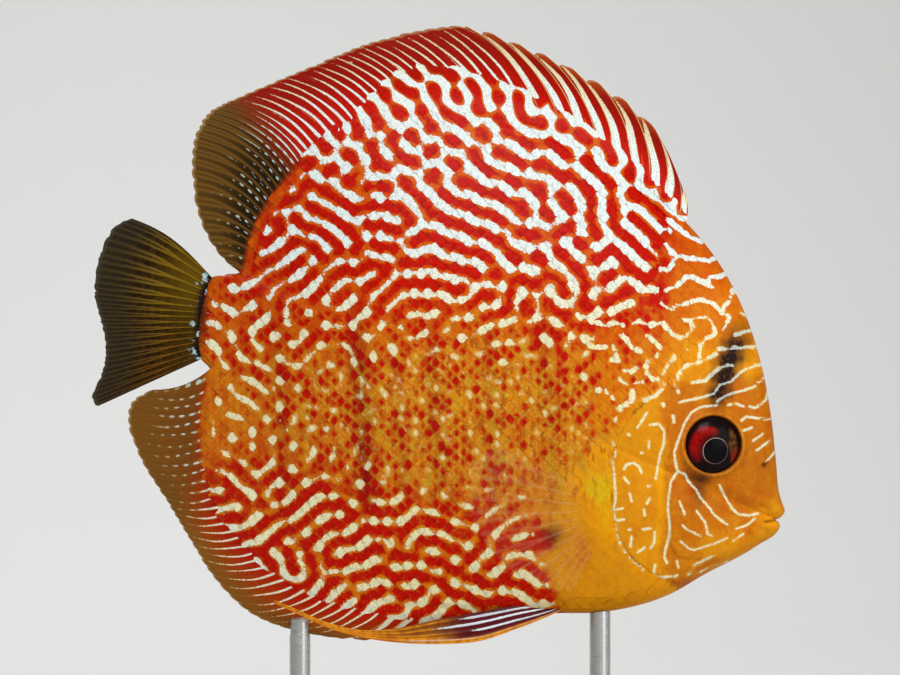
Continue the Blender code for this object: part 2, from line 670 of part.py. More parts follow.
def pelvic_fin(side):
    """A pelvic fin: a hard spine and soft rays laid back beside the anal fin to one long thread."""
    table = through([(x, low, high, y) for x, low, high, y in PELVIC])
    rows = np.linspace(0, 1, PELVIC_ROWS)
    table = at_shares(table, rows)
    columns = 2 * PELVIC_RAYS + 1
    across = np.linspace(0, 1, columns)[:, None]
    x = np.ones((columns, 1)) * table[None, :, 0]
    x = x + 1.6 * across * np.clip(1 - rows / 0.5, 0, 1)[None]
    z = table[None, :, 1] * (1 - across) + table[None, :, 2] * across
    y = side * (table[None, :, 3] - 0.8 * across * (1 - rows)[None])
    crests = (np.arange(columns) % 2)[:, None]
    grid = np.stack([x, y, z], axis=2)
    half = PELVIC_WEB + PELVIC_RAY * crests * (1 - 0.75 * rows)[None]
    return sheet("pelvic_fin_right" if side == RIGHT else "pelvic_fin_left", grid, half, "fin")


def pectoral_fin(side):
    """A pectoral fin: a clear fan behind the gill cover, half open and standing off the flank."""
    columns = 2 * PECTORAL_RAYS + 1
    across = np.linspace(0, 1, columns)
    rows = np.array([0.0, 0.15, 0.45, 0.75, 1.0])
    foot = np.outer(1 - across, PECTORAL_FOOT[0]) + np.outer(across, PECTORAL_FOOT[1])
    length = np.interp(across, *np.transpose(PECTORAL_LENGTHS))
    crests = np.arange(columns) % 2
    length = length - 0.3 * (1 - crests)
    rise = np.radians(PECTORAL_RISE[0] + (PECTORAL_RISE[1] - PECTORAL_RISE[0]) * across)
    out = math.radians(PECTORAL_SPREAD)
    reach = rows[None] * length[:, None]
    sunk = 2.2
    root_y = np.array([half_thickness(x, z) for x, z in foot])
    x = foot[:, :1] + sunk * 0.5 - reach * (np.cos(rise) * math.cos(out))[:, None]
    z = foot[:, 1:] + reach * np.sin(rise)[:, None]
    y = root_y[:, None] - sunk + reach * math.sin(out) + PECTORAL_CUP * rows[None] ** 2
    grid = np.stack([x, side * y, z], axis=2)
    half = 0.26 + crests[:, None] * (0.24 - 0.18 * rows[None]) + 0.5 * np.clip(1 - rows / 0.3, 0, 1)
    return sheet("pectoral_fin_right" if side == RIGHT else "pectoral_fin_left", grid, half, "clear_fin")


def fins():
    """Every fin, each cut back to leave clearance round the flesh it grows from."""
    dorsal = (DORSAL_BASE, DORSAL_TIPS, DORSAL_SPINES + DORSAL_SOFT)
    anal = (ANAL_BASE, ANAL_TIPS, ANAL_SPINES + ANAL_SOFT)
    made = []
    for name, (base, tips, total), spines in (("dorsal_fin", dorsal, DORSAL_SPINES), ("anal_fin", anal, ANAL_SPINES)):
        made.append(median_fin(f"{name}_spiny", base, tips, total, 0, spines, spines))
        made.append(median_fin(f"{name}_soft", base, tips, total, spines, total, spines))
    made.append(tail_fin())
    for side in (RIGHT, LEFT):
        made += [pelvic_fin(side), pectoral_fin(side)]
    body = flesh("body_with_clearance", grow=GAP)
    for fin in made:
        cut(fin, body)
        keep_largest(fin)
    drop(body)
    return made


def turned(name, profile, x, slot):
    """An upright turned rod from rows of radius and height, top first."""
    bm = bmesh.new()
    rows = [bm.verts.new((radius * MM, 0, height * MM)) for radius, height in profile]
    for upper, lower in zip(rows, rows[1:]):
        bm.edges.new((upper, lower))
    mesh = bpy.data.meshes.new(name)
    bm.to_mesh(mesh)
    bm.free()
    rod = add(name, mesh, slot)
    rod.location = (x * MM, 0, 0)
    spin = rod.modifiers.new("turn", "SCREW")
    spin.steps = spin.render_steps = 24
    spin.use_merge_vertices = True
    spin.merge_threshold = 0.00001
    settle(rod)
    rod.data.transform(Matrix.Translation(rod.location))
    rod.location = (0, 0, 0)
    return rod


def stand():
    """The display stand: slab, front rod cut to the chest, rear rod forked round the fin."""
    length, width, height = (s * MM for s in SLAB)
    bm = bmesh.new()
    bmesh.ops.create_cube(bm, size=1.0)
    bmesh.ops.scale(bm, vec=(length, width, height), verts=bm.verts)
    bmesh.ops.translate(bm, vec=(0, 0, height / 2), verts=bm.verts)
    upright = [e for e in bm.edges if abs(e.verts[0].co.z - e.verts[1].co.z) > height / 2]
    bmesh.ops.bevel(bm, geom=upright, offset=SLAB_CORNER * MM, segments=6, profile=0.5, affect="EDGES")
    base = add("stand_base", mesh_from(bm, "stand_base"), "slab")
    edge = base.modifiers.new("edge", "BEVEL")
    edge.width = SLAB_EDGE * MM
    edge.segments = 2
    edge.limit_method = "ANGLE"
    edge.angle_limit = math.radians(50)
    settle(base)
    foot = SLAB[2] + GAP
    shoulder = foot + COLLAR_HEIGHT

    def profile(top):
        return [
            (0, top), (ROD_RADIUS - 0.4, top), (ROD_RADIUS, top - 0.4), (ROD_RADIUS, shoulder + 0.8),
            (ROD_RADIUS + 0.6, shoulder), (COLLAR_RADIUS - 0.5, shoulder), (COLLAR_RADIUS, shoulder - 0.5),
            (COLLAR_RADIUS, foot), (0, foot),
        ]

    chest = LIFT - 63.2 + 5.0
    front = turned("stand_rod_front", profile(chest), FRONT_ROD_X, "rod")
    body = flesh("body_with_clearance", grow=GAP)
    cut(front, body)
    keep_largest(front)
    drop(body)
    rear = turned("stand_rod_rear", profile(LIFT + REAR_ROD_TOP), REAR_ROD_X, "rod")
    slot = [(REAR_ROD_X - 4, FORK_FLOOR), (REAR_ROD_X + 4, FORK_FLOOR), (REAR_ROD_X + 4, -50), (REAR_ROD_X - 4, -50)]
    fork = slab_through("fork_slot", slot, -FORK_SLOT / 2, FORK_SLOT / 2)
    cut(rear, fork)
    drop(fork)
    return base, front, rear


def main():
    for obj in list(bpy.data.objects):
        bpy.data.objects.remove(obj)
    head_trunk_and_tail_stem()
    for side in (RIGHT, LEFT):
        gill_cover(side)
    eyes()
    fins()
    stand()
    bpy.data.orphans_purge(do_recursive=True)


main()
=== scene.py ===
import math

import bpy
import numpy as np
from mathutils import Matrix, Vector
from mathutils.geometry import delaunay_2d_cdt


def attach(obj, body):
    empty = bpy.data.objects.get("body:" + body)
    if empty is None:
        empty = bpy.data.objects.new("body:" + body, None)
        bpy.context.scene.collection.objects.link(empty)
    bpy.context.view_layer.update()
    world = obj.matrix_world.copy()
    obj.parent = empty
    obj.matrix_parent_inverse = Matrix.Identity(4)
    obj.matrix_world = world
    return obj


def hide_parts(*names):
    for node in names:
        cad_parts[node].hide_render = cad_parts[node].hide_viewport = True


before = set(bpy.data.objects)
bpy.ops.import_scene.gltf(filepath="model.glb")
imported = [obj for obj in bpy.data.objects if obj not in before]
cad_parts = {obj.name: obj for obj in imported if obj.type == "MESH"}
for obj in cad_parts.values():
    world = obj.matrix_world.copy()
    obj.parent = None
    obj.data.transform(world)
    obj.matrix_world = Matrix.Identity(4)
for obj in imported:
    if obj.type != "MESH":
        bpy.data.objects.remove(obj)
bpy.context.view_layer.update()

# THE FISH'S SHAPE
# The fish swims towards +X, with its right flank at -Y. Its tables are in millimetres from a
# point amidships that stands LIFT above the floor. The flesh is a deep, thin disc: one smooth
# outline, and flanks that swell from a rounded rim.
MM = 0.001
LIFT = 105.0
RIGHT, LEFT = -1, 1
COAT = 0.22  # depth of the scales over the skin

# x, z and half the thickness of the rounded edge, from the upper lip over the back and round.
OUTLINE = [
    (77.0, -40.0, 2.0), (76.3, -37.8, 2.4), (75.5, -34.6, 3.2), (75.0, -28.6, 3.4), (73.8, -17.8, 3.5),
    (71.7, -6.6, 3.5), (68.0, 5.2, 3.4), (62.6, 16.0, 3.1), (55.7, 25.0, 2.6), (47.1, 33.0, 2.1),
    (36.8, 40.6, 1.9), (24.2, 46.6, 1.8), (11.5, 50.0, 1.7), (0.0, 51.2, 1.7), (-11.5, 50.5, 1.6),
    (-21.9, 47.7, 1.6), (-30.4, 42.9, 1.6), (-37.3, 36.2, 1.6), (-42.8, 28.4, 1.6), (-45.8, 21.5, 1.7),
    (-47.4, 15.6, 2.0), (-51.1, 14.4, 2.3), (-55.0, 13.7, 1.7), (-56.8, 8.6, 1.4), (-57.8, 3.6, 1.4),
    (-58.0, -1.7, 1.4), (-57.3, -4.9, 1.6), (-55.0, -7.8, 1.9), (-55.9, -14.4, 1.6), (-56.6, -21.3, 1.5),
    (-55.4, -29.3, 1.5), (-52.4, -37.4, 1.6), (-46.9, -45.2, 1.7), (-38.0, -52.6, 1.8), (-26.5, -58.3, 1.9),
    (-13.8, -61.5, 2.2), (-2.3, -63.0, 2.6), (11.5, -63.6, 3.2), (25.3, -63.4, 3.8), (34.5, -63.2, 4.2),
    (43.7, -61.5, 4.4), (51.1, -58.8, 4.4), (58.7, -54.4, 4.2), (66.7, -50.3, 3.8), (71.6, -47.3, 3.0),
    (74.4, -45.6, 2.2), (75.8, -43.8, 1.9), (75.6, -42.4, 1.2), (74.6, -41.95, 0.9), (75.9, -41.5, 1.2),
]
HEART = np.array((0.0, -8.6))
SOFTENED = 26.0  # degrees over which the outline's bends fade from the flanks
# x, and half the thickness of the flanks there.
FULLNESS = [
    (-58.0, 4.4), (-45.0, 7.6), (-30.0, 10.4), (-15.0, 12.2), (0.0, 13.0), (15.0, 14.2), (30.0, 16.4),
    (42.0, 18.4), (55.0, 18.4), (65.0, 18.0), (76.0, 16.0),
]
SWELL_TAIL, SWELL_HEAD = 1.0, 0.8  # how sharply the flanks swell from the rim


def through(points, closed=False, per_span=14):
    """A dense smooth curve through rows of x, z and anything else, as cubic spans."""
    rows = np.asarray(points, float)
    if closed:
        rows = np.vstack([rows[-1:], rows, rows[:2]])
    else:
        rows = np.vstack([2 * rows[0] - rows[1], rows, 2 * rows[-1] - rows[-2]])
    steps = np.sqrt(np.linalg.norm(np.diff(rows[:, :2], axis=0), axis=1))
    knots = np.concatenate([[0.0], np.cumsum(steps)])
    slopes = (rows[2:] - rows[:-2]) / (knots[2:] - knots[:-2])[:, None]
    t = np.linspace(0, 1, per_span, endpoint=False)[:, None]
    spans = []
    for i in range(len(slopes) - 1):
        width = knots[i + 2] - knots[i + 1]
        spans.append(
            rows[i + 1] * (1 + 2 * t) * (1 - t) ** 2
            + slopes[i] * width * t * (1 - t) ** 2
            + rows[i + 2] * t**2 * (3 - 2 * t)
            + slopes[i + 1] * width * t**2 * (t - 1)
        )
    if not closed:
        spans.append(rows[-2:-1])
    return np.vstack(spans)


def at_shares(curve, shares):
    """Rows of a dense curve at these shares of its length."""
    run = np.concatenate([[0.0], np.cumsum(np.linalg.norm(np.diff(curve[:, :2], axis=0), axis=1))])
    return np.stack([np.interp(np.asarray(shares) * run[-1], run, column) for column in curve.T], axis=1)


def eased(value, low, high):
    """0 below low, 1 above high, and a smooth step between."""
    t = np.clip((np.asarray(value, float) - low) / (high - low), 0, 1)
    return t * t * (3 - 2 * t)


def hump(value, width):
    """1 where a value is 0, and fading smoothly over this width."""
    return np.exp(-((value / width) ** 2))


def read_off(table, value):
    """Reads a table of pairs between its rows."""
    return np.interp(value, *np.transpose(table))


def away_from(place, x, z):
    """Distance of places from one place."""
    return np.hypot(x - place[0], z - place[1])


BODY_CURVE = through(OUTLINE, closed=True)
arms = BODY_CURVE[:, :2] - HEART
angles = np.arctan2(arms[:, 1], arms[:, 0])
order = np.argsort(angles)
SPOKE_ANGLE = angles[order]
SPOKE_REACH = np.linalg.norm(arms, axis=1)[order]
SPOKE_RIM = BODY_CURVE[order, 2]
even = np.linspace(-math.pi, math.pi, 361)[:-1]  # whole degrees about HEART
level = np.interp(even, SPOKE_ANGLE, SPOKE_REACH, period=math.tau)
bell = hump(np.minimum(np.arange(360), 360 - np.arange(360)), SOFTENED)
SOFT_REACH = np.real(np.fft.ifft(np.fft.fft(level) * np.fft.fft(bell / bell.sum())))


def spoke(table, x, z):
    """Reads a table of the outline on the way from HEART through places."""
    return np.interp(np.arctan2(z - HEART[1], x - HEART[0]), SPOKE_ANGLE, table, period=math.tau)


def half_thickness(x, z):
    """Half thickness of the flesh at places on the flank."""
    x, z = np.asarray(x, float), np.asarray(z, float)
    reach, rim = spoke(SPOKE_REACH, x, z), spoke(SPOKE_RIM, x, z)
    soft = np.interp(np.arctan2(z - HEART[1], x - HEART[0]), even, SOFT_REACH, period=math.tau)
    radius = away_from(HEART, x, z)
    depth = np.maximum(reach - radius, 0.0)
    rounded = rim * np.sqrt(np.clip(1 - np.maximum(0, 1 - depth / rim) ** 2, 0, 1))
    full = read_off(FULLNESS, x)
    sharpness = np.interp(x, (-20.0, 40.0), (SWELL_TAIL, SWELL_HEAD))
    share = np.clip(radius / reach, 0, 1)
    share = share * (1 + (reach / soft - 1) * (1 - share**2))
    return rounded + (full - rim) * np.cos(math.pi / 2 * np.clip(share, 0, 1)) ** sharpness * (depth > 0)


def placed(points):
    """Millimetres of the fish's tables as metres above the floor."""
    return (np.asarray(points, float) + (0, 0, LIFT)) * MM


def set_down(name, data):
    """A new object in the scene from its mesh, lamp or camera."""
    thing = bpy.data.objects.new(name, data)
    bpy.context.scene.collection.objects.link(thing)
    return thing


def new_piece(name, points, faces, replaced):
    """A finished mesh piece in place of the solids that it replaces."""
    mesh = bpy.data.meshes.new(name)
    mesh.from_pydata(placed(points), [], faces if isinstance(faces, list) else faces.tolist())
    mesh.shade_smooth()
    piece = set_down(name, mesh)
    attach(piece, "root")
    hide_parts(*replaced)
    return piece


# THE MARKINGS
# A spotted and lined dress of bluish-white on red and orange. It grows the way it does on
# the fish: a wave of one breadth settles into lines and spots, and leans along set courses.
GRID_X, GRID_Z = (-90.0, 82.8), (-77.0, 76.6)  # the map of the markings
COUNT_X, COUNT_Z = 432, 384
LEANINGS = 8  # directions that a line may take
LEAN_PULL, LEAN_WIDTH, RING_WIDTH, ROUNDS, STIFFNESS = 0.34, 1.2, 0.42, 8, 1.8
BREADTHS = (4.0, 4.5, 5.0)  # breadths of a line and a gap together, in millimetres
# Courses of the lines: x, z, the line's angle in degrees above +X, and how strictly it keeps it.
COURSES = [
    (-8, 40, -38, 1.3), (12, 42, -42, 1.3), (30, 36, -48, 1.2), (48, 24, -40, 1.2), (-28, 32, -20, 1.0),
    (-38, 14, 20, 0.7), (0, 26, -38, 1.3), (20, 24, -36, 1.2), (40, 12, 14, 1.0), (54, 2, 28, 1.2),
    (0, 12, 0, 0.6), (22, 10, 8, 0.9), (-22, 10, 30, 0.5), (-50, 0, -8, 0.8), (-46, -20, 60, 0.4),
    (-40, -34, 10, 0.9), (-28, -44, 14, 1.1), (-14, -50, 20, 1.3), (4, -54, 8, 1.4), (20, -54, 2, 1.4),
    (-30, -52, 26, 1.4), (-10, -58, 20, 1.4), (-20, -20, 85, 0.5), (-30, -10, 85, 0.5), (36, -10, 60, 0.3),
    (-46, -44, 0, 1.2), (-54, -24, 0, 0.6),
]
# Each fin's base is a stretch of the outline, by its rows. A tip is a share of the base, x and z.
DORSAL_BASE = (8.1, 20.3)
DORSAL_TIPS = [
    (0, 53.7, 34.2), (0.05, 47.6, 47.4), (0.092, 39.8, 55), (0.155, 28.6, 61.8), (0.231, 15.6, 67.6),
    (0.302, 3.6, 71.6), (0.396, -8.4, 70.4), (0.49, -19.6, 67.4), (0.609, -33.4, 61.8),
    (0.727, -48.4, 55.4), (0.794, -55.2, 52), (0.85, -58.7, 46.2), (0.9, -59.5, 37.6), (0.935, -58.3, 29.2),
    (0.965, -55.6, 22.6), (0.982, -53, 18.8), (1, -50.4, 16.4),
]
ANAL_BASE = (36.9, 26.7)
ANAL_TIPS = [
    (0, 13.6, -65.4), (0.043, 5.6, -67.2), (0.086, -3.6, -69.2), (0.143, -14.6, -69.9), (0.219, -27.4, -69),
    (0.305, -39.2, -66.4), (0.385, -47.4, -62.4), (0.47, -54.6, -54.8), (0.593, -60.6, -45.2),
    (0.708, -65.6, -37), (0.81, -71.2, -28), (0.88, -74, -20.2), (0.94, -73.4, -15), (1, -69, -12),
]
DORSAL_RAYS, DORSAL_SPINES = 50, 9
ANAL_RAYS, ANAL_SPINES = 40, 7
FIN_BEND = 0.24  # how far the rays bow, as a share of their length
MEDIAN_FINS = ((DORSAL_BASE, DORSAL_TIPS), (ANAL_BASE, ANAL_TIPS))


def base_line(base):
    """The stretch of the body's outline that a fin grows from."""
    count = len(BODY_CURVE) / len(OUTLINE)
    low, high = sorted(base)
    stretch = BODY_CURVE[round(low * count): round(high * count) + 1]
    return stretch if base[0] < base[1] else stretch[::-1]


def fin_rays(base, tips, shares, sunk):
    """Feet, tips and bowing middles of rays at these shares of a fin's base."""
    feet = at_shares(base_line(base), shares)[:, :2]
    along = np.gradient(feet, axis=0)
    along /= np.linalg.norm(along, axis=1)[:, None]
    ends = through([(x, z, share) for share, x, z in tips], per_span=20)
    ends = np.stack([np.interp(shares, ends[:, 2], ends[:, k]) for k in (0, 1)], axis=1)
    square = np.stack([along[:, 1], -along[:, 0]], axis=1)
    square *= np.sign(np.sum(square * (ends - feet), axis=1, keepdims=True))
    feet = feet - sunk * square
    rays = ends - feet
    ahead = np.stack([-rays[:, 1], rays[:, 0]], axis=1)
    ahead *= np.where(ahead[:, :1] < 0, -1.0, 1.0)
    return feet, ends, feet + rays / 2 + FIN_BEND * ahead


def along_ray(feet, middle, ends, t):
    """Places at shares t of each ray's length, as rays by shares by x, z."""
    t = np.broadcast_to(t, (len(feet), np.shape(t)[-1]))[..., None]
    return (1 - t) ** 2 * feet[:, None] + 2 * t * (1 - t) * middle[:, None] + t**2 * ends[:, None]


grid_x = np.linspace(*GRID_X, COUNT_X)
grid_z = np.linspace(*GRID_Z, COUNT_Z)
map_x, map_z = np.meshgrid(grid_x, grid_z)


def sampled(table, x, z):
    """Reads a table of the markings' map at places between its points."""
    u = np.clip((np.asarray(x) - GRID_X[0]) / (grid_x[1] - grid_x[0]), 0, COUNT_X - 1.001)
    v = np.clip((np.asarray(z) - GRID_Z[0]) / (grid_z[1] - grid_z[0]), 0, COUNT_Z - 1.001)
    i, j = u.astype(int), v.astype(int)
    a, b = u - i, v - j
    return (
        table[j, i] * (1 - a) * (1 - b) + table[j, i + 1] * a * (1 - b)
        + table[j + 1, i] * (1 - a) * b + table[j + 1, i + 1] * a * b
    )


def within(x, z):
    """How far inside the outline places lie as seen from HEART: 0 at the edge, + inside."""
    return spoke(SPOKE_REACH, x, z) - away_from(HEART, x, z)


def blot(x, z, centre, radii):
    """A soft round patch: 1 at its centre, and fading over its radii."""
    return np.exp(-(((x - centre[0]) / radii[0]) ** 2) - ((z - centre[1]) / radii[1]) ** 2)


pull_cos, pull_sin, pull_all = (np.zeros_like(map_x) for _ in range(3))
courses = [(x, z, angle, keep, 9.0) for x, z, angle, keep in COURSES]
for base, tips in MEDIAN_FINS:
    feet, ends, middle = fin_rays(base, tips, np.linspace(0.01, 0.99, 26), 0.0)
    loose = base is DORSAL_BASE
    for share, keep in ((0.12, 0.9 if loose else 1.5), (0.4, 1.3 if loose else 2.4), (0.7, 2.6), (1.0, 3.0)):
        spots = along_ray(feet, middle, ends, [share])[:, 0]
        nexts = along_ray(feet, middle, ends, [share + 0.05])[:, 0]
        for (x, z), (u, v) in zip(spots, nexts):
            turn = 90 if (x < -33.0 and share < 0.2) else 0
            courses.append((x, z, math.degrees(math.atan2(v - z, u - x)) + turn, keep, 4.5))
for x, z, angle, keep, spread in courses:
    pull = np.exp(-((map_x - x) ** 2 + (map_z - z) ** 2) / spread**2) + 1e-6
    pull_cos += pull * keep * math.cos(2 * math.radians(angle))
    pull_sin += pull * keep * math.sin(2 * math.radians(angle))
    pull_all += pull
course = np.arctan2(pull_sin, pull_cos) / 2
strictness = np.hypot(pull_sin, pull_cos) / pull_all
inside = within(map_x, map_z)
finward = eased(-inside, -2.0, 8.0)
breadth = 4.95 - 0.55 * eased(-map_z, -24.0, 6.0) - 0.5 * finward
breadth -= 0.75 * blot(map_x, map_z, (-31, 24), (16, 15))

freq_x = np.fft.fftfreq(COUNT_X, grid_x[1] - grid_x[0])[None, : COUNT_X // 2 + 1]
freq_z = np.fft.fftfreq(COUNT_Z, grid_z[1] - grid_z[0])[:, None]
freq = np.hypot(freq_x, freq_z)
facing = np.arctan2(freq_z, freq_x)
leans = [k * math.pi / LEANINGS for k in range(LEANINGS)]
weights = [np.exp(LEAN_PULL * strictness * np.cos(2 * (course - lean))) for lean in leans]
weights = [weight / sum(weights) for weight in weights]
sieves, shares_of = [], []
for size in BREADTHS:
    near = np.clip(1 - np.abs(breadth - size) / 0.5, 0, 1)
    ring = hump(freq - 1 / size, RING_WIDTH / size)
    for lean, weight in zip(leans, weights):
        apart = np.arcsin(np.clip(np.abs(np.sin(facing - (lean + math.pi / 2))), 0, 1))
        sieves.append(ring * hump(apart, LEAN_WIDTH))
        shares_of.append(near * weight)


def settled(seed, lean_to_white, tie=None, tied=None):
    """A field of lines and spots that has settled from noise, near -1 to 1."""
    field = np.random.default_rng(seed).normal(size=map_x.shape)
    for _ in range(ROUNDS):
        wave = np.fft.rfft2(field)
        sieved = (np.fft.irfft2(wave * sieve, s=map_x.shape) for sieve in sieves)
        field = sum(share * part for share, part in zip(shares_of, sieved))
        swing = field / (np.sqrt(np.mean(field**2)) + 1e-9)
        if tie is not None:
            swing = swing * (1 - tied) + tie * tied
        field = np.tanh(STIFFNESS * swing + lean_to_white)
    return swing


# Patches of the flank that are marked in their own way, as their middles and radii.
GOLDEN_FLANK = ((7.0, -19.0), (31.0, 18.0))
BROKEN_FLANK = ((-36.0, -12.0), (17.0, 15.0))
BEFORE_STEM = ((-53.0, -20.0), (9.0, 17.0))
BEHIND_PECTORAL = ((24.0, -32.0), (11.0, 9.0))
SPOTTED_REAR = ((-30.0, 22.0), (18.0, 16.0))
PALE_MIDDLE = ((22.0, 12.0), (30.0, 9.0))
PALE_BACK = ((14.0, 47.0), (34.0, 10.0))
RED_BREAST = ((21.8, -46.2), (3.2, 3.2))
# Dark patches, with their strength first: below the eye, on the breast and on the tail stem.
DARK_PATCHES = (
    (0.9, (57.4, -32.4), (3.4, 2.2)), (0.7, (23.6, -45.0), (2.7, 3.0)), (0.85, (-57.0, 5.5), (1.6, 9.0)),
)
lined = eased(-map_z - 0.25 * map_x, 32.0, 44.0)  # the belly, where the lines run long again
WHITENESS = 0.5 * eased(map_z, 6.0, 24.0) - 0.3 * eased(-map_z, 5.0, 30.0) * (1 - lined)
WHITENESS = WHITENESS + 0.25 * blot(map_x, map_z, *PALE_BACK)
field_right = settled(11, WHITENESS)
field_left = settled(47, WHITENESS, tie=field_right, tied=1 - eased(inside, 1.0, 9.0))

# Scales stand in upright columns, each shifted half a scale from the last, and carry the colours.
SCALE_LONG, SCALE_HIGH = 1.55, 2.9
HALF_COLUMNS, HALF_ROWS = 80, 50
chance = np.random.default_rng(5).random((2 * HALF_COLUMNS, 2 * HALF_ROWS, 4))
# Edges of the flank's areas: x at each z, and for the top of the face z at each x.
GILL_EDGE = [
    (-57.0, 52.0), (-51.0, 42.0), (-43.0, 38.0), (-36.0, 37.0), (-27.0, 37.5), (-20.0, 40.0), (-10.0, 44.0),
]
FACE_TOP = [(36.0, -18.0), (44.0, -13.5), (52.0, -10.5), (62.0, -9.0), (78.0, -8.5)]
CHEST_REAR = [
    (-64.0, 26.0), (-50.0, 21.5), (-44.0, 22.5), (-33.7, 25.0), (-28.0, 31.0), (-24.0, 35.0), (-20.0, 40.0),
]
# Faint upright bars, as x, half width and strength.
BARS = [
    (-39.0, 1.6, 0.22), (-20.5, 2.2, 0.55), (-12.0, 1.4, 0.2), (-4.0, 1.8, 0.2), (9.0, 2.0, 0.16),
    (22.0, 2.2, 0.2),
]
# Dark courses over and below the eye, and the golden groove behind the cheek.
BROW = [(67.0, 5.0), (65.2, -2.0), (62.6, -9.0), (60.4, -18.0)]
TEAR = [(52.4, -28.6), (54.0, -31.0), (56.8, -32.4), (57.2, -35.4), (55.6, -42.0)]
GROOVE = [(48.8, -24.0), (48.0, -32.0), (48.2, -40.0), (47.4, -47.0)]
# White lines of the face and gill cover, x and z from point to point.
FACE_LINES = [
    [(61, -15.5), (57.5, -15.8), (55.2, -16.9), (53.6, -19.4), (52, -23.6), (51.1, -26.3), (51.5, -28.9),
     (52, -30.5), (53.6, -31.2), (54.7, -33.2), (56.1, -34.6), (57.3, -36.7), (58.9, -38.5), (60.7, -40.8),
     (63.5, -42.9)],
    [(52, -30.5), (50.4, -32.8), (49.9, -36.2), (49.7, -39.2), (50.1, -42), (50.1, -45.4), (49.2, -48.4),
     (49, -50.3), (49.7, -51.6)],
    [(45.5, -19.9), (47.6, -19.7), (48.8, -21.3), (48.8, -24), (47.8, -27), (46.9, -32.3)],
    [(37.3, -23.6), (37.5, -27), (36.8, -27.7), (37.3, -30.9), (37.7, -35.1), (37.7, -37.4), (37, -39.2),
     (37.5, -40.8), (37.7, -43.1), (38.4, -46.1), (39.3, -48.2), (40.7, -50.5), (42.6, -52.1),
     (44.2, -53.2)],
    [(46.9, -51.9), (46.5, -53.9), (48.1, -54.9), (55.2, -54.2), (58.2, -53.5), (61, -52.3), (63.8, -51.2)],
    [(55.6, -52.1), (58.9, -50.5), (61, -49.9)], [(51.9, -51.1), (52.3, -52.7)],
    [(72.5, -28.5), (74.7, -26.2)], [(52.4, -37.4), (53.6, -40.4)],
    [(53.1, -42.9), (54.3, -44), (57.3, -45.4)],
    [(52.7, -46.6), (54.5, -48.2), (55.9, -48.6), (61, -47), (63.5, -45.9)], [(64.9, -46.6), (67.2, -45)],
    [(56.4, -39.7), (58.4, -42.4), (58.9, -45), (60, -45.4)],
    [(61.6, -33.7), (62.3, -35.1), (63.5, -37.4), (64.6, -39.2), (66, -40.4), (68.3, -40.8),
     (70.6, -40.4)],
    [(65.5, -43.8), (68.3, -42.9), (69.8, -41.6)], [(46.7, -44.3), (46.7, -46.6), (45.8, -48.2)],
    [(52.2, -14.8), (58.2, -13.5), (60.3, -12.8), (61.6, -10.9), (64.4, -10.0), (66.8, -7.6), (71.8, -6)],
    [(61, -14.6), (63.2, -13.2), (69.5, -11.4), (72.4, -9)], [(63.5, -15.5), (64.4, -15.3)],
    [(65.3, -15.1), (67.2, -15.8)], [(68.5, -15.8), (69.9, -16.2), (72.5, -14.4), (73.1, -12.1)],
    [(66.7, -19), (67.9, -18.1), (71.8, -18.7), (73.8, -18.5)], [(67.2, -21.3), (69.2, -20.6)],
    [(69.5, -23.6), (71.8, -22)], [(70.2, -25.9), (73.4, -23.6)], [(44.9, -17.1), (42.6, -20.6)],
    [(40.5, -22), (40.9, -22.2)], [(45.3, -23.6), (45.3, -25.2)], [(43.5, -26.3), (43.9, -26.3)],
    [(39.6, -30), (40.2, -28.9), (41.9, -28.6), (43.2, -29.6), (43.7, -30.9)],
    [(39.6, -31.9), (40.7, -33.2)], [(45.1, -33.9), (45.5, -33.9)], [(40.9, -35.5), (41.4, -37.4)],
    [(44.9, -37.8), (45.5, -36.7)], [(44.2, -39.2), (44.4, -40.6)], [(37.7, -39.2), (39.3, -39)],
    [(38, -41.7), (39.6, -41.5)], [(40.7, -43.8), (41.2, -43.8)], [(43.9, -43.8), (45.8, -43.6)],
    [(41.4, -45.4), (41.2, -47.7)], [(42.8, -49.1), (44.4, -48)],
]
FACE_LINE_HALF = 0.27
# Rear edge of the nape's own lines, as x at each z.
NAPE_EDGE = [
    (-23.0, 33.0), (-18.0, 31.5), (-8.0, 34.0), (-2.0, 33.5), (4.0, 33.0), (6.6, 46.5), (30.0, 47.5),
]
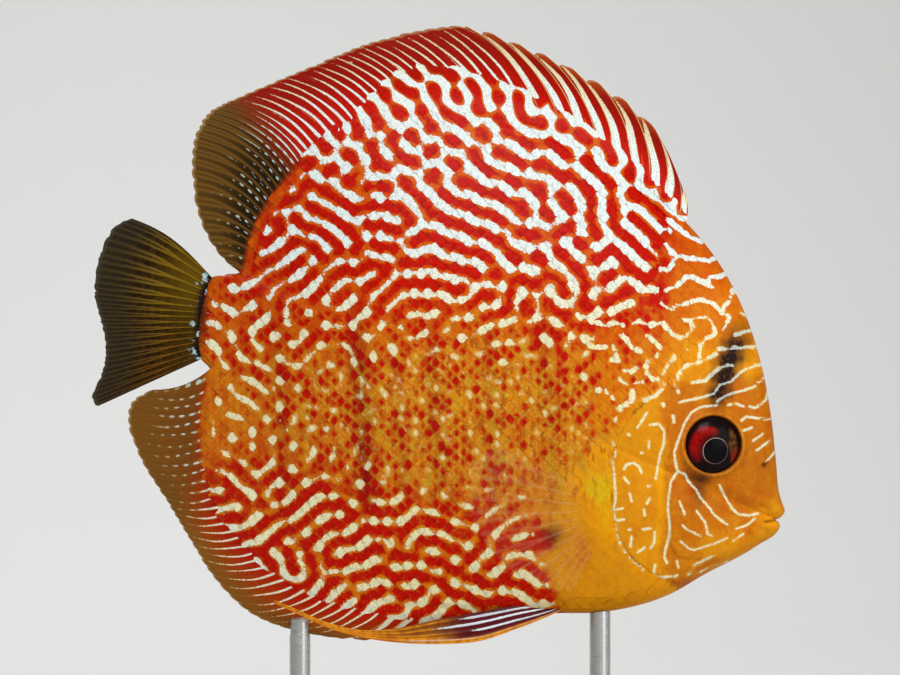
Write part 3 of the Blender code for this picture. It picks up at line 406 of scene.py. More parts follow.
# White lines of the nape and behind the gill cover, broader and stepped by the scales.
NAPE_LINES = [
    [(50, 26.8), (51.7, 25.3), (53.6, 23.8), (55.2, 22.8), (57.8, 22)],
    [(48.3, 24.4), (49.4, 24.9), (50.4, 24.5)],
    [(49.4, 21.5), (50, 20.7), (50.8, 19.4), (52.1, 18.8), (54.6, 18.1), (57.5, 17.9), (59, 17.5),
     (60.9, 18.3)],
    [(52.1, 18.6), (51.2, 17.5), (50.6, 16.3), (49.6, 15.4), (48.3, 15.6)],
    [(49.4, 10.8), (51.2, 11.4), (52.7, 12.5), (54, 13.7), (55.5, 13.9), (56.9, 13.1), (58.6, 12.5),
     (59.7, 13.9), (61.6, 13.9), (63.7, 14.8)],
    [(58.6, 12.5), (59.9, 11.6)],
    [(48.3, 7.8), (50.2, 6.4), (52.1, 7.4), (54, 7.6), (56.3, 8.7), (58.2, 8.5), (59.7, 8), (61.3, 6.8),
     (62.2, 5.5), (62.6, 6.8), (64.1, 8.3), (64.5, 9.9), (64.9, 11), (66.4, 10.2)],
    [(53.1, 4.1), (55, 3.9), (56.3, 4.7), (58.8, 4.7), (59.7, 3.8), (60.7, 1.3), (60.1, 0.3), (58.2, -0.2),
     (57.3, -1.6), (57.1, -2.9)],
    [(55, 3.9), (55.5, 2.8), (55.2, 1.7), (54, 0.3), (52.5, -0.1), (50.8, 0.9), (49.6, 2.4), (48.3, 3.6)],
    [(63.4, 5.3), (63.9, 4.5), (63.2, 3), (62.6, 1.9)], [(65.3, 0.5), (66.6, 1.1), (68.3, 1.5), (70, 1.7)],
    [(61.5, -2.7), (65.5, -2.4), (71, -2)], [(66.4, 5.7), (67.8, 5.1)],
    [(51.4, -4.2), (49.8, -6.1), (48.6, -8.2)],
    [(48.6, -10.1), (48.6, -11.5), (46.8, -13.2), (44.2, -14.4)], [(45.3, -5.2), (44.6, -6.8)],
    [(44.9, -8), (45.8, -9.2), (47.2, -9.6)], [(47.2, -4), (47.2, -4.2)], [(54, -2.7), (54.1, -2.8)],
    [(57.1, -1), (57, -4.4)],
    [(60.8, -3.9), (57.5, -5.4), (55.4, -5.9), (52.9, -7.1), (52.1, -8.9), (51.4, -10.6), (52.1, -12.5)],
    [(55.2, -10.3), (58.2, -9.9), (61.4, -6.9), (64.6, -6.3)], [(48.5, -15.1), (48.7, -15.6)],
    [(50.9, -17.8), (51.1, -19.3)], [(41.6, -12), (41.4, -14.1), (38.5, -16.2)],
    [(37.6, -18.4), (37.6, -18.9)], [(37.2, -13.5), (37.2, -13.9)], [(33.8, -11.7), (33.9, -12.1)],
    [(35.7, -12.1), (35.8, -12.5)], [(42.8, -6.8), (41.1, -7.8), (39.5, -7.5)],
    [(43.9, -10.1), (42.3, -10.3)], [(38.8, -9.6), (40.2, -10.6)],
    [(37.4, -1.9), (37.8, -3.8), (38.5, -5.4), (36.9, -5.2)], [(44.9, 0.5), (46.5, -0.7), (48.2, -2.4)],
    [(39, 0.7), (40.6, -0.7), (41.4, -2.4), (43.5, -3.1)],
    [(41.6, 3.3), (43.2, 3.7), (45.6, 2.8), (47.7, 3.3), (49.3, 2.3), (50.3, 0.7)],
    [(31.7, 3.7), (33.8, 3.3), (35.7, 2.6), (37.6, 3.5), (39.5, 2.8)],
    [(30.1, 0.2), (30.8, -1.2), (33.4, -2.4), (35.7, -1.9)],
]
NAPE_LINE_HALF = 0.36


def rearward(x, z):
    """Nearness to the rear of the dorsal and anal fins, whatever the depth."""
    dorsal = eased(-x + 0.9 * (60 - z), 46.0, 60.0)
    anal = 0.9 * eased(-x + 0.5 * (z + 20), 43.0, 58.0)
    return np.where(z > 0, dorsal, anal)


def dusk(x, z):
    """How far the rear of the dorsal and anal fins has turned brown."""
    out = -within(x, z)
    return rearward(x, z) * np.where(z > 0, eased(out, -0.8, 1.6), eased(out, -0.4, 3.0))


def scale_middle(column, row):
    """Where the scale of a column and row stands."""
    return column * SCALE_LONG, (row + (column % 2) / 2) * SCALE_HIGH


def scale_under(x, z):
    """Column and row of the scale whose bare part covers a place."""
    near, column, row = (np.zeros(np.shape(x)) for _ in range(3))
    near += 1e9
    for step in (0, 1):
        this = np.floor(x / SCALE_LONG) + step
        rank = np.round(z / SCALE_HIGH - (this % 2) / 2)
        mid_x, mid_z = scale_middle(this, rank)
        away = np.abs(x - mid_x) / SCALE_LONG
        away = away + np.abs(z - mid_z) / (SCALE_HIGH / 2)
        column, row = np.where(away < near, this, column), np.where(away < near, rank, row)
        near = np.minimum(away, near)
    return column, row


def reach_of(line, x, z):
    """Distance from places to an open x, z line, and which side of it they are on."""
    line = np.asarray(line, float)
    best = np.full(np.shape(x), 1e9)
    side = np.zeros(np.shape(x))
    for (ax, az), (bx, bz) in zip(line, line[1:]):
        dx, dz = bx - ax, bz - az
        t = np.clip(((x - ax) * dx + (z - az) * dz) / (dx * dx + dz * dz), 0, 1)
        away = np.hypot(x - ax - t * dx, z - az - t * dz)
        nearer = away < best
        best = np.where(nearer, away, best)
        side = np.where(nearer, np.sign(dx * (z - az) - dz * (x - ax)), side)
    return best, side


def areas(x, z, deep):
    """Nearness to the areas of the flank that are marked in their own way."""
    face = eased(read_off(FACE_TOP, x) - z, -1.2, 1.2) * eased(x - read_off(GILL_EDGE, z), -0.6, 0.4)
    face = face * eased(x, 35.0, 37.0)
    chest = eased(x - read_off(CHEST_REAR, z), -4.0, 3.0) * eased(-z, 17.0, 24.0) * (1 - face)
    gold = np.clip(1.35 * blot(x, z, *GOLDEN_FLANK), 0, 1) * (1 - face)
    broken = np.maximum(blot(x, z, *BROKEN_FLANK), 0.9 * blot(x, z, *BEFORE_STEM))
    shore = eased(-deep, -2.4, -1.2) * rearward(x, z)
    under = eased(-z - 0.25 * x, 34.0, 44.0)
    from_nape = x - read_off(NAPE_EDGE, z) + 1.3 * np.sin(0.9 * z + 1.0) * eased(z, 4.0, 7.0)
    drawn = eased(from_nape, -0.8, 0.8) * eased(z, -22.0, -20.0) * eased(-z, -27.0, -26.0)
    return face, chest, gold, broken, shore, under, drawn


def dress(x, z, side, scale=None):
    """The markings at places on one flank, as values by name, for the materials to mix.

    With scale, the column and row are given, and the place lies on that scale wherever it is.
    """
    column, row = scale_under(x, z) if scale is None else scale
    mid_x, mid_z = scale_middle(column, row)
    from_x, from_z = x - mid_x, z - mid_z
    luck = chance[column.astype(int) + HALF_COLUMNS, row.astype(int) + HALF_ROWS]
    girth, rise, pick, shift = np.moveaxis(luck, -1, 0)
    deep = within(x, z)
    face, chest, gold, broken, shore, under, drawn = areas(x, z, deep)
    plain = blot(x, z, *BEHIND_PECTORAL)
    nape = eased(x, 38.0, 58.0) * eased(-z, -26.0, -4.0) * (1 - face)

    # The field of lines and spots, stepped by the scales, and the level that parts white from red.
    step = 0.4 * eased(deep, -1.0, 2.0) * (1 - face)
    field = field_right if side == RIGHT else field_left
    swing = sampled(field, x, z) * (1 - step) + sampled(field, mid_x, mid_z) * step
    edge = 0.56 - 0.16 * eased(z, 14.0, 30.0) + 0.2 * eased(-z, 5.0, 30.0) * (1 - 0.55 * under)
    edge = edge + 1.0 * gold + 0.28 * broken + 1.2 * plain + 0.18 * blot(x, z, *SPOTTED_REAR)
    edge = edge - 0.2 * blot(x, z, *PALE_MIDDLE) - 0.12 * blot(x, z, *PALE_BACK)
    edge = edge + 2.2 * chest + 3.0 * np.maximum(face, drawn) + 1.6 * shore + 0.1 * (shift - 0.5)
    white = 0.5 + 0.9 * (swing - edge)
    speck = blot(from_x, from_z, (-0.5 * shift, -1.2 * (rise - 0.5)), (0.6, 1.0))
    speck = speck * eased(girth, 0.1, 0.5) * (pick < 0.34)
    speck = speck * np.clip(gold + 0.7 * broken, 0, 1) * (1 - chest) * (1 - 0.6 * plain) * 0.86
    white = np.maximum(white, speck)

    # The listed strokes, which wander a little on the left flank and have uneven edges.
    line_x = x * (1 - 0.6 * step) + mid_x * 0.6 * step
    line_z = z * (1 - 0.6 * step) + mid_z * 0.6 * step
    if side == LEFT:
        line_x, line_z = line_x + 0.9 * np.sin(0.4 * line_z + 1.0), line_z + 0.8 * np.sin(0.37 * line_x)
    uneven = 1 + 0.22 * np.sin(1.3 * x + 2.1 * z) * np.sin(2.3 * z - 0.9 * x)
    fine = 1 - 0.25 * eased(-z, 40.0, 46.0) * eased(x, 50.0, 54.0)
    nape_half = NAPE_LINE_HALF + 0.2 * np.maximum(eased(z, 6.0, 14.0), 0.6 * eased(-x, -52.0, -46.0))
    for strokes, half in ((FACE_LINES, FACE_LINE_HALF), (NAPE_LINES, nape_half)):
        away = np.min([reach_of(line, line_x, line_z)[0] for line in strokes], axis=0)
        white = np.maximum(white, 0.5 + (half * uneven * fine - away) * 1.1)

    # Red between the lines: solid above and on the fins, dotted below, and sparse on the gold.
    plump = 0.6 + 0.6 * girth + 0.2 * gold
    off_x, off_z = -0.5 * (rise - 0.5), -0.8 * (shift - 0.5)
    dot = blot(from_x + 0.1, from_z, (off_x, off_z), (0.75 * plump, (1.1 - 0.12 * gold) * plump))
    core = eased(edge - 0.3 - swing, 0.0, 0.8)
    upper = np.maximum(eased(z + 0.25 * x, -6.0, 16.0), 0.85 * under)
    solid = core * (0.8 + 0.2 * dot)
    dotted = core * (0.3 + 0.75 * dot * (pick > 0.2))
    sparse = (0.5 + 0.6 * rise) * dot * (pick > 0.34)
    red = (solid * upper + dotted * (1 - upper)) * (1 - gold) + sparse * gold
    red = np.where(deep < 0, solid, red) * (1 - chest) * (1 - 0.93 * face) * (1 - 0.5 * shore)
    red = red * (1 - 0.6 * blot(x, z, *BEFORE_STEM)) * (1 - 0.6 * plain)
    faded = drawn * (1 - 0.75 * eased(z, 1.0, 7.0) * (1 - eased(x, 46.5, 55.0)))
    red = red * (1 - 0.6 * nape) * (1 - faded)
    red = red + 0.75 * sparse * drawn * (1 - face) * (1 - 0.8 * eased(x, 44.0, 54.0))
    bars = sum(share * hump(x - at + 0.06 * (z + 10), wide) for at, wide, share in BARS)
    bars = bars * eased(z, -44.0, -32.0) * eased(-z, -12.0, 4.0) * (0.6 + 0.6 * rise) * (1 - face)
    red = np.maximum(red + 0.6 * bars, 0.95 * blot(x, z, *RED_BREAST))

    # Dark in the bars, over the eye and below it, and in a few patches.
    dark = 0.75 * bars + 0.2 * eased(-x, 8.0, 54.0) + 0.12 * gold + 0.1 * chest
    brow, tear, groove = (reach_of(line, x, z)[0] for line in (BROW, TEAR, GROOVE))
    brow = brow + 0.45 * np.sin(1.6 * z) + 0.3 * np.sin(2.7 * x)
    faint = eased(-z, -7.0, 3.0) * (0.35 + 0.65 * eased(z, -17.5, -13.0))
    dark = np.maximum(dark, 1.06 * np.exp(-((np.maximum(brow, 0) / 3.1) ** 2.6)) * faint)
    dark = np.maximum(dark, 0.8 * hump(tear, 2.1) * eased(z, -44.0, -33.0) * eased(x, 50.5, 55.5))
    for strength, centre, radii in DARK_PATCHES:
        dark = np.maximum(dark, strength * blot(x, z, centre, radii))
    gill_plate = eased(-x, -51.0, -47.0)
    snout, jowl = blot(x, z, (70.0, -30.0), (8.0, 8.0)), blot(x, z, (68.0, -48.0), (10.0, 6.0))
    dark = np.maximum(dark, face * (0.2 - 0.12 * gill_plate + 0.12 * snout - 0.12 * jowl))

    # How warm the ground is, from deep orange through gold to lemon, how soft, and how blue the white.
    belly = 0.36 * eased(-z, -8.0, 10.0) * (1 - gold) * (1 - face) * (1 - chest)
    cover = face * (0.5 + 0.35 * gill_plate + 0.35 * blot(x, z, (66.0, -49.0), (12.0, 5.0)))
    glow = blot(x, z, (34.5, -34.4), (4.0, 4.0)) + 0.7 * blot(x, z, (35.0, -44.0), (2.5, 5.0))
    warm = belly + 0.6 * gold + 1.0 * chest + cover + 0.45 * nape + 0.6 * face * hump(groove, 0.9)
    warm = warm + chest * (0.6 * glow - 0.4 * blot(x, z, (29.0, -48.0), (7.0, 5.0)))
    soft = np.clip(1.2 * gold + 0.4 * broken, 0, 1) * (1 - face) * (1 - drawn)
    blue = eased(z, -6.0, 26.0) + 0.8 * dark + 0.5 * eased(-deep, -1.0, 3.0)
    warm, blue = np.clip(warm, 0, 1.7), np.clip(blue, 0, 1)
    return {"white": white, "red": red, "warm": warm, "dark": dark, "blue": blue, "soft": soft}


# THE SKIN
# One bare hide over head, gill covers, trunk and tail stem, with no seam, under the scales.
# It carries the folds of the head: lips, the line of the mouth, nostrils, gill edges.
GILL_REAR = [
    (44.0, -15.4), (40.0, -19.6), (37.5, -25.4), (36.7, -32.4), (36.9, -38.5), (37.9, -43.6), (39.6, -47.7),
    (42.6, -51.4), (46.8, -54.2), (52.0, -56.6), (58.0, -54.8),
]
CHEEK_REAR = [
    (52.6, -14.0), (49.8, -20.0), (49.0, -27.0), (49.6, -34.0), (50.4, -40.0), (50.0, -46.0), (52.4, -50.0),
    (58.0, -50.6),
]
EYE_AT = (60.2, -24.45)
EYE_RADIUS, EYE_DEPTH, EYE_PROUD = 7.0, 3.5, 1.7
NOSTRIL_AT = (72.0, -29.3)
MOUTH_LINE = [(79.0, -41.7), (74.6, -41.95), (72.2, -42.3)]
MOUTH_FOLD = [(71.4, -40.4), (70.2, -42.4), (69.6, -44.4), (71.0, -45.6)]
JAW_LINE = [(65.2, -44.0), (67.8, -43.0), (69.6, -41.6), (70.4, -40.4)]
LIPS = ((74.5, -41.8), (4.5, 3.6))
RIM_POINTS = 640
RIM_STEPS = (0.03, 0.12, 0.28, 0.5, 0.8)  # rings in from the edge, as shares of its thickness
HEAD_FROM, MOUTH_FROM = 34.5, 67.0
# Spacing of the skin's points, and the stretch of x where it holds.
SPACINGS = ((0.85, -60.0, HEAD_FROM), (0.42, HEAD_FROM, MOUTH_FROM), (0.34, MOUTH_FROM, 78.0))
UNROLLED_SPAN = 166.0


def skin_relief(x, z):
    """How far the skin stands out from the plain flank, in millimetres."""
    away, side = reach_of(through(GILL_REAR), x, z)
    rise = np.where(side > 0, 0.42 * np.exp(-away / 6.0), -0.25 * hump(away, 0.9))
    rise -= 0.12 * hump(away, 0.35)
    away, side = reach_of(through(CHEEK_REAR), x, z)
    rise += np.where(side > 0, 0.22 * np.exp(-away / 4.0), -0.16 * np.exp(-away / 1.2))
    from_eye = away_from(EYE_AT, x, z)
    rise += 0.5 * hump(from_eye - 7.1, 0.6) - 0.25 * hump(from_eye - 8.8, 1.0)
    rise -= 3.2 * (1 - eased(from_eye, 5.7, 6.7))
    from_nostril = away_from(NOSTRIL_AT, x, z)
    rise += 0.22 * hump(from_nostril - 1.0, 0.3) - 0.8 * (1 - eased(from_nostril, 0.35, 0.8))
    mouth, fold, jaw = (reach_of(line, x, z)[0] for line in (MOUTH_LINE, MOUTH_FOLD, JAW_LINE))
    rise -= 0.9 * hump(mouth, 0.22)
    rise += 0.55 * hump(mouth - 1.5, 1.1) * eased(x, 71.6, 73.6)
    rise += 0.35 * hump(fold, 0.9) - 0.2 * hump(fold - 1.5, 0.5)
    rise -= 0.3 * hump(jaw, 0.35)
    along, across = (x - 71.2) * 0.9 + (z + 43.4) * 0.43, (z + 43.4) * 0.9 - (x - 71.2) * 0.43
    return rise + 0.55 * blot(along, across, (0, 0), (2.6, 1.1))


def skin_half(x, z):
    """Half thickness of the skin, just inside the scales, with the head's folds."""
    depth = within(x, z)
    flesh = half_thickness(x, z) - COAT * eased(depth, 0.0, 1.5)
    return np.maximum(flesh + skin_relief(x, z) * eased(depth, 0.0, 0.8), 0)


def outward(curve):
    """Unit normals of a closed x, z curve that runs anticlockwise."""
    along = np.roll(curve[:, :2], -1, axis=0) - np.roll(curve[:, :2], 1, axis=0)
    along /= np.linalg.norm(along, axis=1)[:, None]
    return np.stack([along[:, 1], -along[:, 0]], axis=1)


def unrolled(x, z):
    """Places on a flank laid out flat along the skin from HEART, as shares of a square."""
    t = np.linspace(0, 1, 25)[:, None]
    across, up = HEART[0] + t * (x - HEART[0]), HEART[1] + t * (z - HEART[1])
    flat_run = np.hypot(np.diff(across, axis=0), np.diff(up, axis=0))
    run = np.hypot(flat_run, np.diff(half_thickness(across, up), axis=0))
    far = away_from(HEART, x, z)
    stretch = np.where(far > 0.01, run.sum(axis=0) / np.maximum(far, 0.01), 1.0)
    return [0.5 + 0.9 * (place - heart) * stretch / UNROLLED_SPAN for place, heart in zip((x, z), HEART)]


def lay_out(mesh, across, up):
    """Stores a flat layout of the points as a map to bake the finish on."""
    corners = np.zeros(len(mesh.loops), np.int32)
    mesh.loops.foreach_get("vertex_index", corners)
    layout = mesh.uv_layers.new(name="OFBake")
    flat = np.stack([across[corners], up[corners]], axis=1)
    layout.data.foreach_set("uv", flat.astype(np.float32).ravel())


def mark(mesh, marks):
    """Stores numbers, or rows of three, by name on a mesh's points."""
    for name, values in marks.items():
        values = np.asarray(values, np.float32)
        kind, field = ("FLOAT_VECTOR", "vector") if values.ndim == 2 else ("FLOAT", "value")
        mesh.attributes.new(name, kind, "POINT").data.foreach_set(field, values.ravel())


rim_line = at_shares(np.vstack([BODY_CURVE, BODY_CURVE[:1]]), np.arange(RIM_POINTS) / RIM_POINTS)
rim_out = outward(rim_line)
plan = [rim_line[:, :2]] + [rim_line[:, :2] - rim_out * (rim_line[:, 2:] * part) for part in RIM_STEPS]
lattice = []
for step, low, high in SPACINGS:
    for number, x in enumerate(np.arange(low, high, step * 0.866)):
        zs = np.arange(-66.0, 54.0, step) + (step / 2 if number % 2 else 0)
        lattice.append(np.stack([np.full(len(zs), x), zs], axis=1))
lattice = np.vstack(lattice)
# The upper head ahead of the scales needs no finer points than the flank.
lattice = lattice[(lattice[:, 0] < HEAD_FROM) | (lattice[:, 1] < 24.0)]
lattice = lattice[within(*lattice.T) > 0]
nearest = np.min([away_from(place, *lattice.T) for place in plan[-1][::2]], axis=0)
lattice = lattice[(within(*lattice.T) > spoke(SPOKE_RIM, *lattice.T) * 0.95) & (nearest > 0.45)]
flat = np.vstack(plan + [lattice])
ring_edges = [(i, (i + 1) % RIM_POINTS) for i in range(RIM_POINTS)]
flat_points, _, flat_faces, _, _, _ = delaunay_2d_cdt([Vector(p) for p in flat], ring_edges, [], 1, 1e-5)
flat_points = np.array([tuple(p) for p in flat_points])
flat_faces = np.array(flat_faces)
doubled = np.arange(len(flat_points)) >= RIM_POINTS
half = np.where(doubled, skin_half(*flat_points.T), 0.0)
left_index = np.where(doubled, np.cumsum(doubled) - 1 + len(flat_points), np.arange(len(flat_points)))
skin_points = np.vstack([
    np.stack([flat_points[:, 0], -half, flat_points[:, 1]], axis=1),
    np.stack([flat_points[:, 0], half, flat_points[:, 1]], axis=1)[doubled],
])
skin_faces = np.vstack([flat_faces, left_index[flat_faces][:, ::-1]])
skin = new_piece(
    "skin", skin_points, skin_faces,
    ("head", "trunk", "tail_stem", "gill_cover_right", "gill_cover_left"),
)
right_dress = dress(*flat_points.T, RIGHT)
left_dress = dress(*flat_points[doubled].T, LEFT)
skin_dress = {name: np.concatenate([right_dress[name], left_dress[name]]) for name in right_dress}
bare_x, bare_z = skin_points[:, 0], skin_points[:, 2]
dark, white, warm = (skin_dress[key] for key in ("dark", "white", "warm"))
lips = blot(bare_x, bare_z, *LIPS)
# A painted shadow darkens the crease along the line of the mouth.
seam, _ = reach_of(MOUTH_LINE, bare_x, bare_z)
dark = np.maximum(dark * (1 - 0.7 * lips), 0.7 * hump(seam, 0.28))
socket = away_from(EYE_AT, bare_x, bare_z)
# Painted shade darkens the skin in the sunken socket round the eyeball.
dark = np.maximum(dark, 0.9 * (1 - eased(socket, 6.3, 6.8)))
white = np.maximum(white, 0.44 * hump(socket - 7.1, 0.28) * (socket > 6.7))
# Painted shade darkens the nostril's pit.
dark = np.maximum(dark, 0.8 * (1 - eased(away_from(NOSTRIL_AT, bare_x, bare_z), 0.4, 0.9)))
# A painted shadow lies on the flank just behind the gill cover's rear edge.
gill_away, gill_side = reach_of(through(GILL_REAR), bare_x, bare_z)
dark = np.maximum(dark, 0.5 * hump(gill_away, 0.8) * (gill_side < 0))
skin_dress.update(dark=dark, white=white, warm=warm * (1 - lips) + 1.15 * lips)
mark(skin.data, skin_dress)
across, up = unrolled(bare_x, bare_z)
lay_out(skin.data, np.where(skin_points[:, 1] > 0, 0.5 + across / 2, across / 2), up)


class Paint:
    """The nodes of one finish: each call adds a node and gives what it puts out."""

    def __init__(self, tree):
        """Starts on a material's tree or a group's."""
        self.tree = tree
        self.shader = tree.nodes.get("Principled BSDF")

    def feed(self, socket, value):
        """Joins another node to a socket, or sets a number or a colour on it."""
        if isinstance(value, bpy.types.NodeSocket):
            self.tree.links.new(value, socket)
        else:
            socket.default_value = (*value, 1.0) if socket.type == "RGBA" else value

    def to(self, name, value):
        """Feeds a socket of the material's shader."""
        self.feed(self.shader.inputs[name], value)

    def node(self, kind, feeds=None, **settings):
        """A new node with its settings and with its inputs fed."""
        node = self.tree.nodes.new(kind)
        for name, value in settings.items():
            setattr(node, name, value)
        for key, value in (feeds or {}).items():
            self.feed(node.inputs[key], value)
        return node

    def read(self, *names):
        """The values that a piece's points carry under these names."""
        found = [self.node("ShaderNodeAttribute", attribute_name=name).outputs["Fac"] for name in names]
        return found if len(found) > 1 else found[0]

    def figure(self, operation, *values):
        """The outcome of one sum."""
        return self.node("ShaderNodeMath", dict(enumerate(values)), operation=operation).outputs[0]

    def times(self, first, *others):
        """A product."""
        for other in others:
            first = self.figure("MULTIPLY", first, other)
        return first

    def plus(self, first, second):
        """A sum of two."""
        return self.figure("ADD", first, second)

    def minus(self, first, second):
        """A difference."""
        return self.figure("SUBTRACT", first, second)

    def times_plus(self, first, second, third):
        """A product of two, with a third added."""
        return self.figure("MULTIPLY_ADD", first, second, third)

    def step(self, value, low, high, start=0.0, stop=1.0):
        """A smooth step of a value from low to high, as start to stop."""
        feeds = dict(enumerate((value, low, high, start, stop)))
        return self.node("ShaderNodeMapRange", feeds, interpolation_type="SMOOTHSTEP").outputs[0]

    def blend(self, share, first, second, kind="MIX"):
        """A colour mixed from two, given as red, green and blue or as outputs."""
        feeds = {0: share, 6: first, 7: second}
        return self.node("ShaderNodeMix", feeds, data_type="RGBA", blend_type=kind).outputs[2]

    def grain(self, scale, detail=2.0, stretch=None):
        """Fine noise over a piece in place, at this many cells to the metre."""
        place = self.node("ShaderNodeTexCoord").outputs["Object"]
        if stretch:
            place = self.node("ShaderNodeMapping", {"Vector": place, "Scale": stretch}).outputs[0]
        feeds = {"Vector": place, "Scale": scale, "Detail": detail}
        return self.node("ShaderNodeTexNoise", feeds).outputs[0]

    def dent(self, height, depth):
        """Relief from a height of 0 to 1, depth in millimetres."""
        feeds = {"Height": height, "Distance": depth * MM, "Strength": 1.0}
        self.to("Normal", self.node("ShaderNodeBump", feeds).outputs[0])


def new_finish(name, sockets=()):
    """A new material and its paint, with the sockets that are the same all over."""
    material = bpy.data.materials.new(name)
    material.use_nodes = True
    paint = Paint(material.node_tree)
    for socket, value in dict(sockets).items():
        paint.to(socket, value)
    return material, paint


ORANGE, AMBER = (0.60, 0.085, 0.002), (0.66, 0.17, 0.004)
GOLDEN, BREAST = (0.76, 0.30, 0.006), (0.88, 0.34, 0.002)
LEMON, OCHRE, RUSSET = (0.80, 0.50, 0.006), (0.58, 0.31, 0.012), (0.40, 0.075, 0.002)
DUSTY, HALO_GOLD, STRAW = (0.62, 0.47, 0.07), (0.84, 0.46, 0.07), (0.80, 0.62, 0.22)
RED, DEEP_RED = (0.53, 0.006, 0.001), (0.34, 0.004, 0.001)
CREAM, ICE, INK_AND_SHADE = (0.86, 0.80, 0.47), (0.78, 0.85, 0.83), (0.018, 0.007, 0.005)

markings = bpy.data.node_groups.new("markings", "ShaderNodeTree")
for name, kind in (("Color", "Color"), ("Pale", "Float"), ("Roughness", "Float")):
    markings.interface.new_socket(name, in_out="OUTPUT", socket_type="NodeSocket" + kind)
paint = Paint(markings)
white_in, red_in, warm_in = paint.read("white", "red", "warm")
dark_in, blue_in, soft_in = paint.read("dark", "blue", "soft")
mottle, clouds = paint.grain(700.0), paint.grain(260.0, 3.0, (1.0, 1.0, 0.6))


def roughened(value, noise, amount):
    """A value with noise of 0 to 1 added about its middle."""
    return paint.times_plus(paint.minus(noise, 0.5), amount, value)


frayed = paint.times_plus(paint.grain(2400.0), 0.5, -0.25)
crisp_low, crisp_high = paint.step(soft_in, 0.2, 0.9, 0.42, 0.24), paint.step(soft_in, 0.2, 0.9, 0.58, 0.8)
pale = paint.step(paint.plus(white_in, frayed), crisp_low, crisp_high)
warmth = roughened(roughened(warm_in, mottle, 0.6), clouds, 0.8)
warmth = roughened(warmth, paint.grain(2600.0), 0.5)
ground = paint.blend(paint.step(warmth, 0.0, 0.5), ORANGE, AMBER)
for colour, low, high in ((GOLDEN, 0.4, 0.95), (BREAST, 0.9, 1.3), (LEMON, 1.25, 1.7)):
    ground = paint.blend(paint.step(warmth, low, high), ground, colour)
patches = paint.grain(420.0, 3.0, (1.5, 1.0, 0.55))
patched = paint.step(soft_in, 0.1, 0.7, 0.16, 1.0)
ochre = paint.times(paint.step(patches, 0.50, 0.68, 0.0, 0.8), patched)
russet = paint.times(paint.step(patches, 0.34, 0.48, 0.75, 0.0), patched)
dust = paint.times(paint.step(paint.grain(1500.0), 0.5, 0.66, 0.0, 0.5), soft_in)
halo = paint.times(paint.step(white_in, 0.12, 0.5), paint.step(warmth, 0.25, 0.7, 0.0, 0.6))
for share, colour in ((ochre, OCHRE), (russet, RUSSET), (dust, DUSTY), (halo, HALO_GOLD)):
    ground = paint.blend(share, ground, colour)
blood = roughened(roughened(red_in, mottle, 0.6), clouds, -0.9)
deep = paint.blend(paint.step(paint.grain(1300.0), 0.45, 0.75), RED, DEEP_RED)
ground = paint.blend(paint.step(blood, 0.1, 0.75), ground, deep)
# Near-black from the dark share: dark markings, and on the skin also painted shade in the eye socket,
# nostril and mouth and behind the gill covers.
dark_and_shade = paint.times(dark_in, paint.step(paint.grain(1000.0), 0.25, 0.6, 0.82, 1.0))
ground = paint.blend(dark_and_shade, ground, INK_AND_SHADE)
frost = paint.blend(blue_in, CREAM, ICE)
frost = paint.blend(paint.times(soft_in, 0.45), frost, STRAW)
crackle = paint.step(paint.grain(3800.0, 3.0), 0.36, 0.5, 0.62, 1.0)
crackle = paint.node("ShaderNodeCombineColor", {0: crackle, 1: crackle, 2: crackle}).outputs[0]
frost = paint.blend(1.0, frost, crackle, "MULTIPLY")
frost = paint.blend(paint.times(dark_and_shade, 0.45), frost, INK_AND_SHADE)
uneven = paint.step(mottle, 0.3, 0.7, 0.34, 0.46)
paint.node("NodeGroupOutput", {"Color": paint.blend(pale, ground, frost), "Pale": pale, "Roughness": uneven})


def dressed_finish(name, sockets):
    """A new material with the markings in it, its paint and the markings' node."""
    material, paint = new_finish(name, {"Specular IOR Level": 0.025, **sockets})
    group = paint.node("ShaderNodeGroup", node_tree=markings)
    paint.to("Base Color", group.outputs["Color"])
    paint.to("Roughness", group.outputs["Roughness"])
    return material, paint, group


bare_skin, paint, _ = dressed_finish("bare_skin", {"Coat Weight": 0.04, "Coat Roughness": 0.2})
paint.dent(paint.grain(1500.0, 3.0), 0.1)
skin.data.materials.append(bare_skin)

# THE SCALES
# A coat of thin round plates over trunk and tail stem, in upright columns, each with its front
# sunk in the skin and its rear edge free over the next. The face and gill covers are bare, and
# the scales on the breast lie flatter.
PLATE_ALONG = (-2.6, -1.2, 0.1, 1.0, 1.6)  # from the sunk front to the free edge
PLATE_ACROSS = (-1.0, -0.62, -0.22, 0.22, 0.62, 1.0)
PLATE_HALF = 1.66
PLATE_SINK, PLATE_LIFT, PLATE_DOME, PLATE_THICK = -0.28, 0.13, 0.07, 0.10
SHEATH = 2.4  # how far small scales climb the fins
FIN_SINK = 3.0  # how deep the fins are rooted
HIDE_JOIN = 2.2  # how sharply the flesh runs into a fin's root
ROOT_HALF = 0.34  # half thickness of a fin's fleshy root at its top
COLUMNS, ROWS = (-40, 42), (-24, 22)
SCALE_PATCH = 0.003  # a scale's width on the flat layout


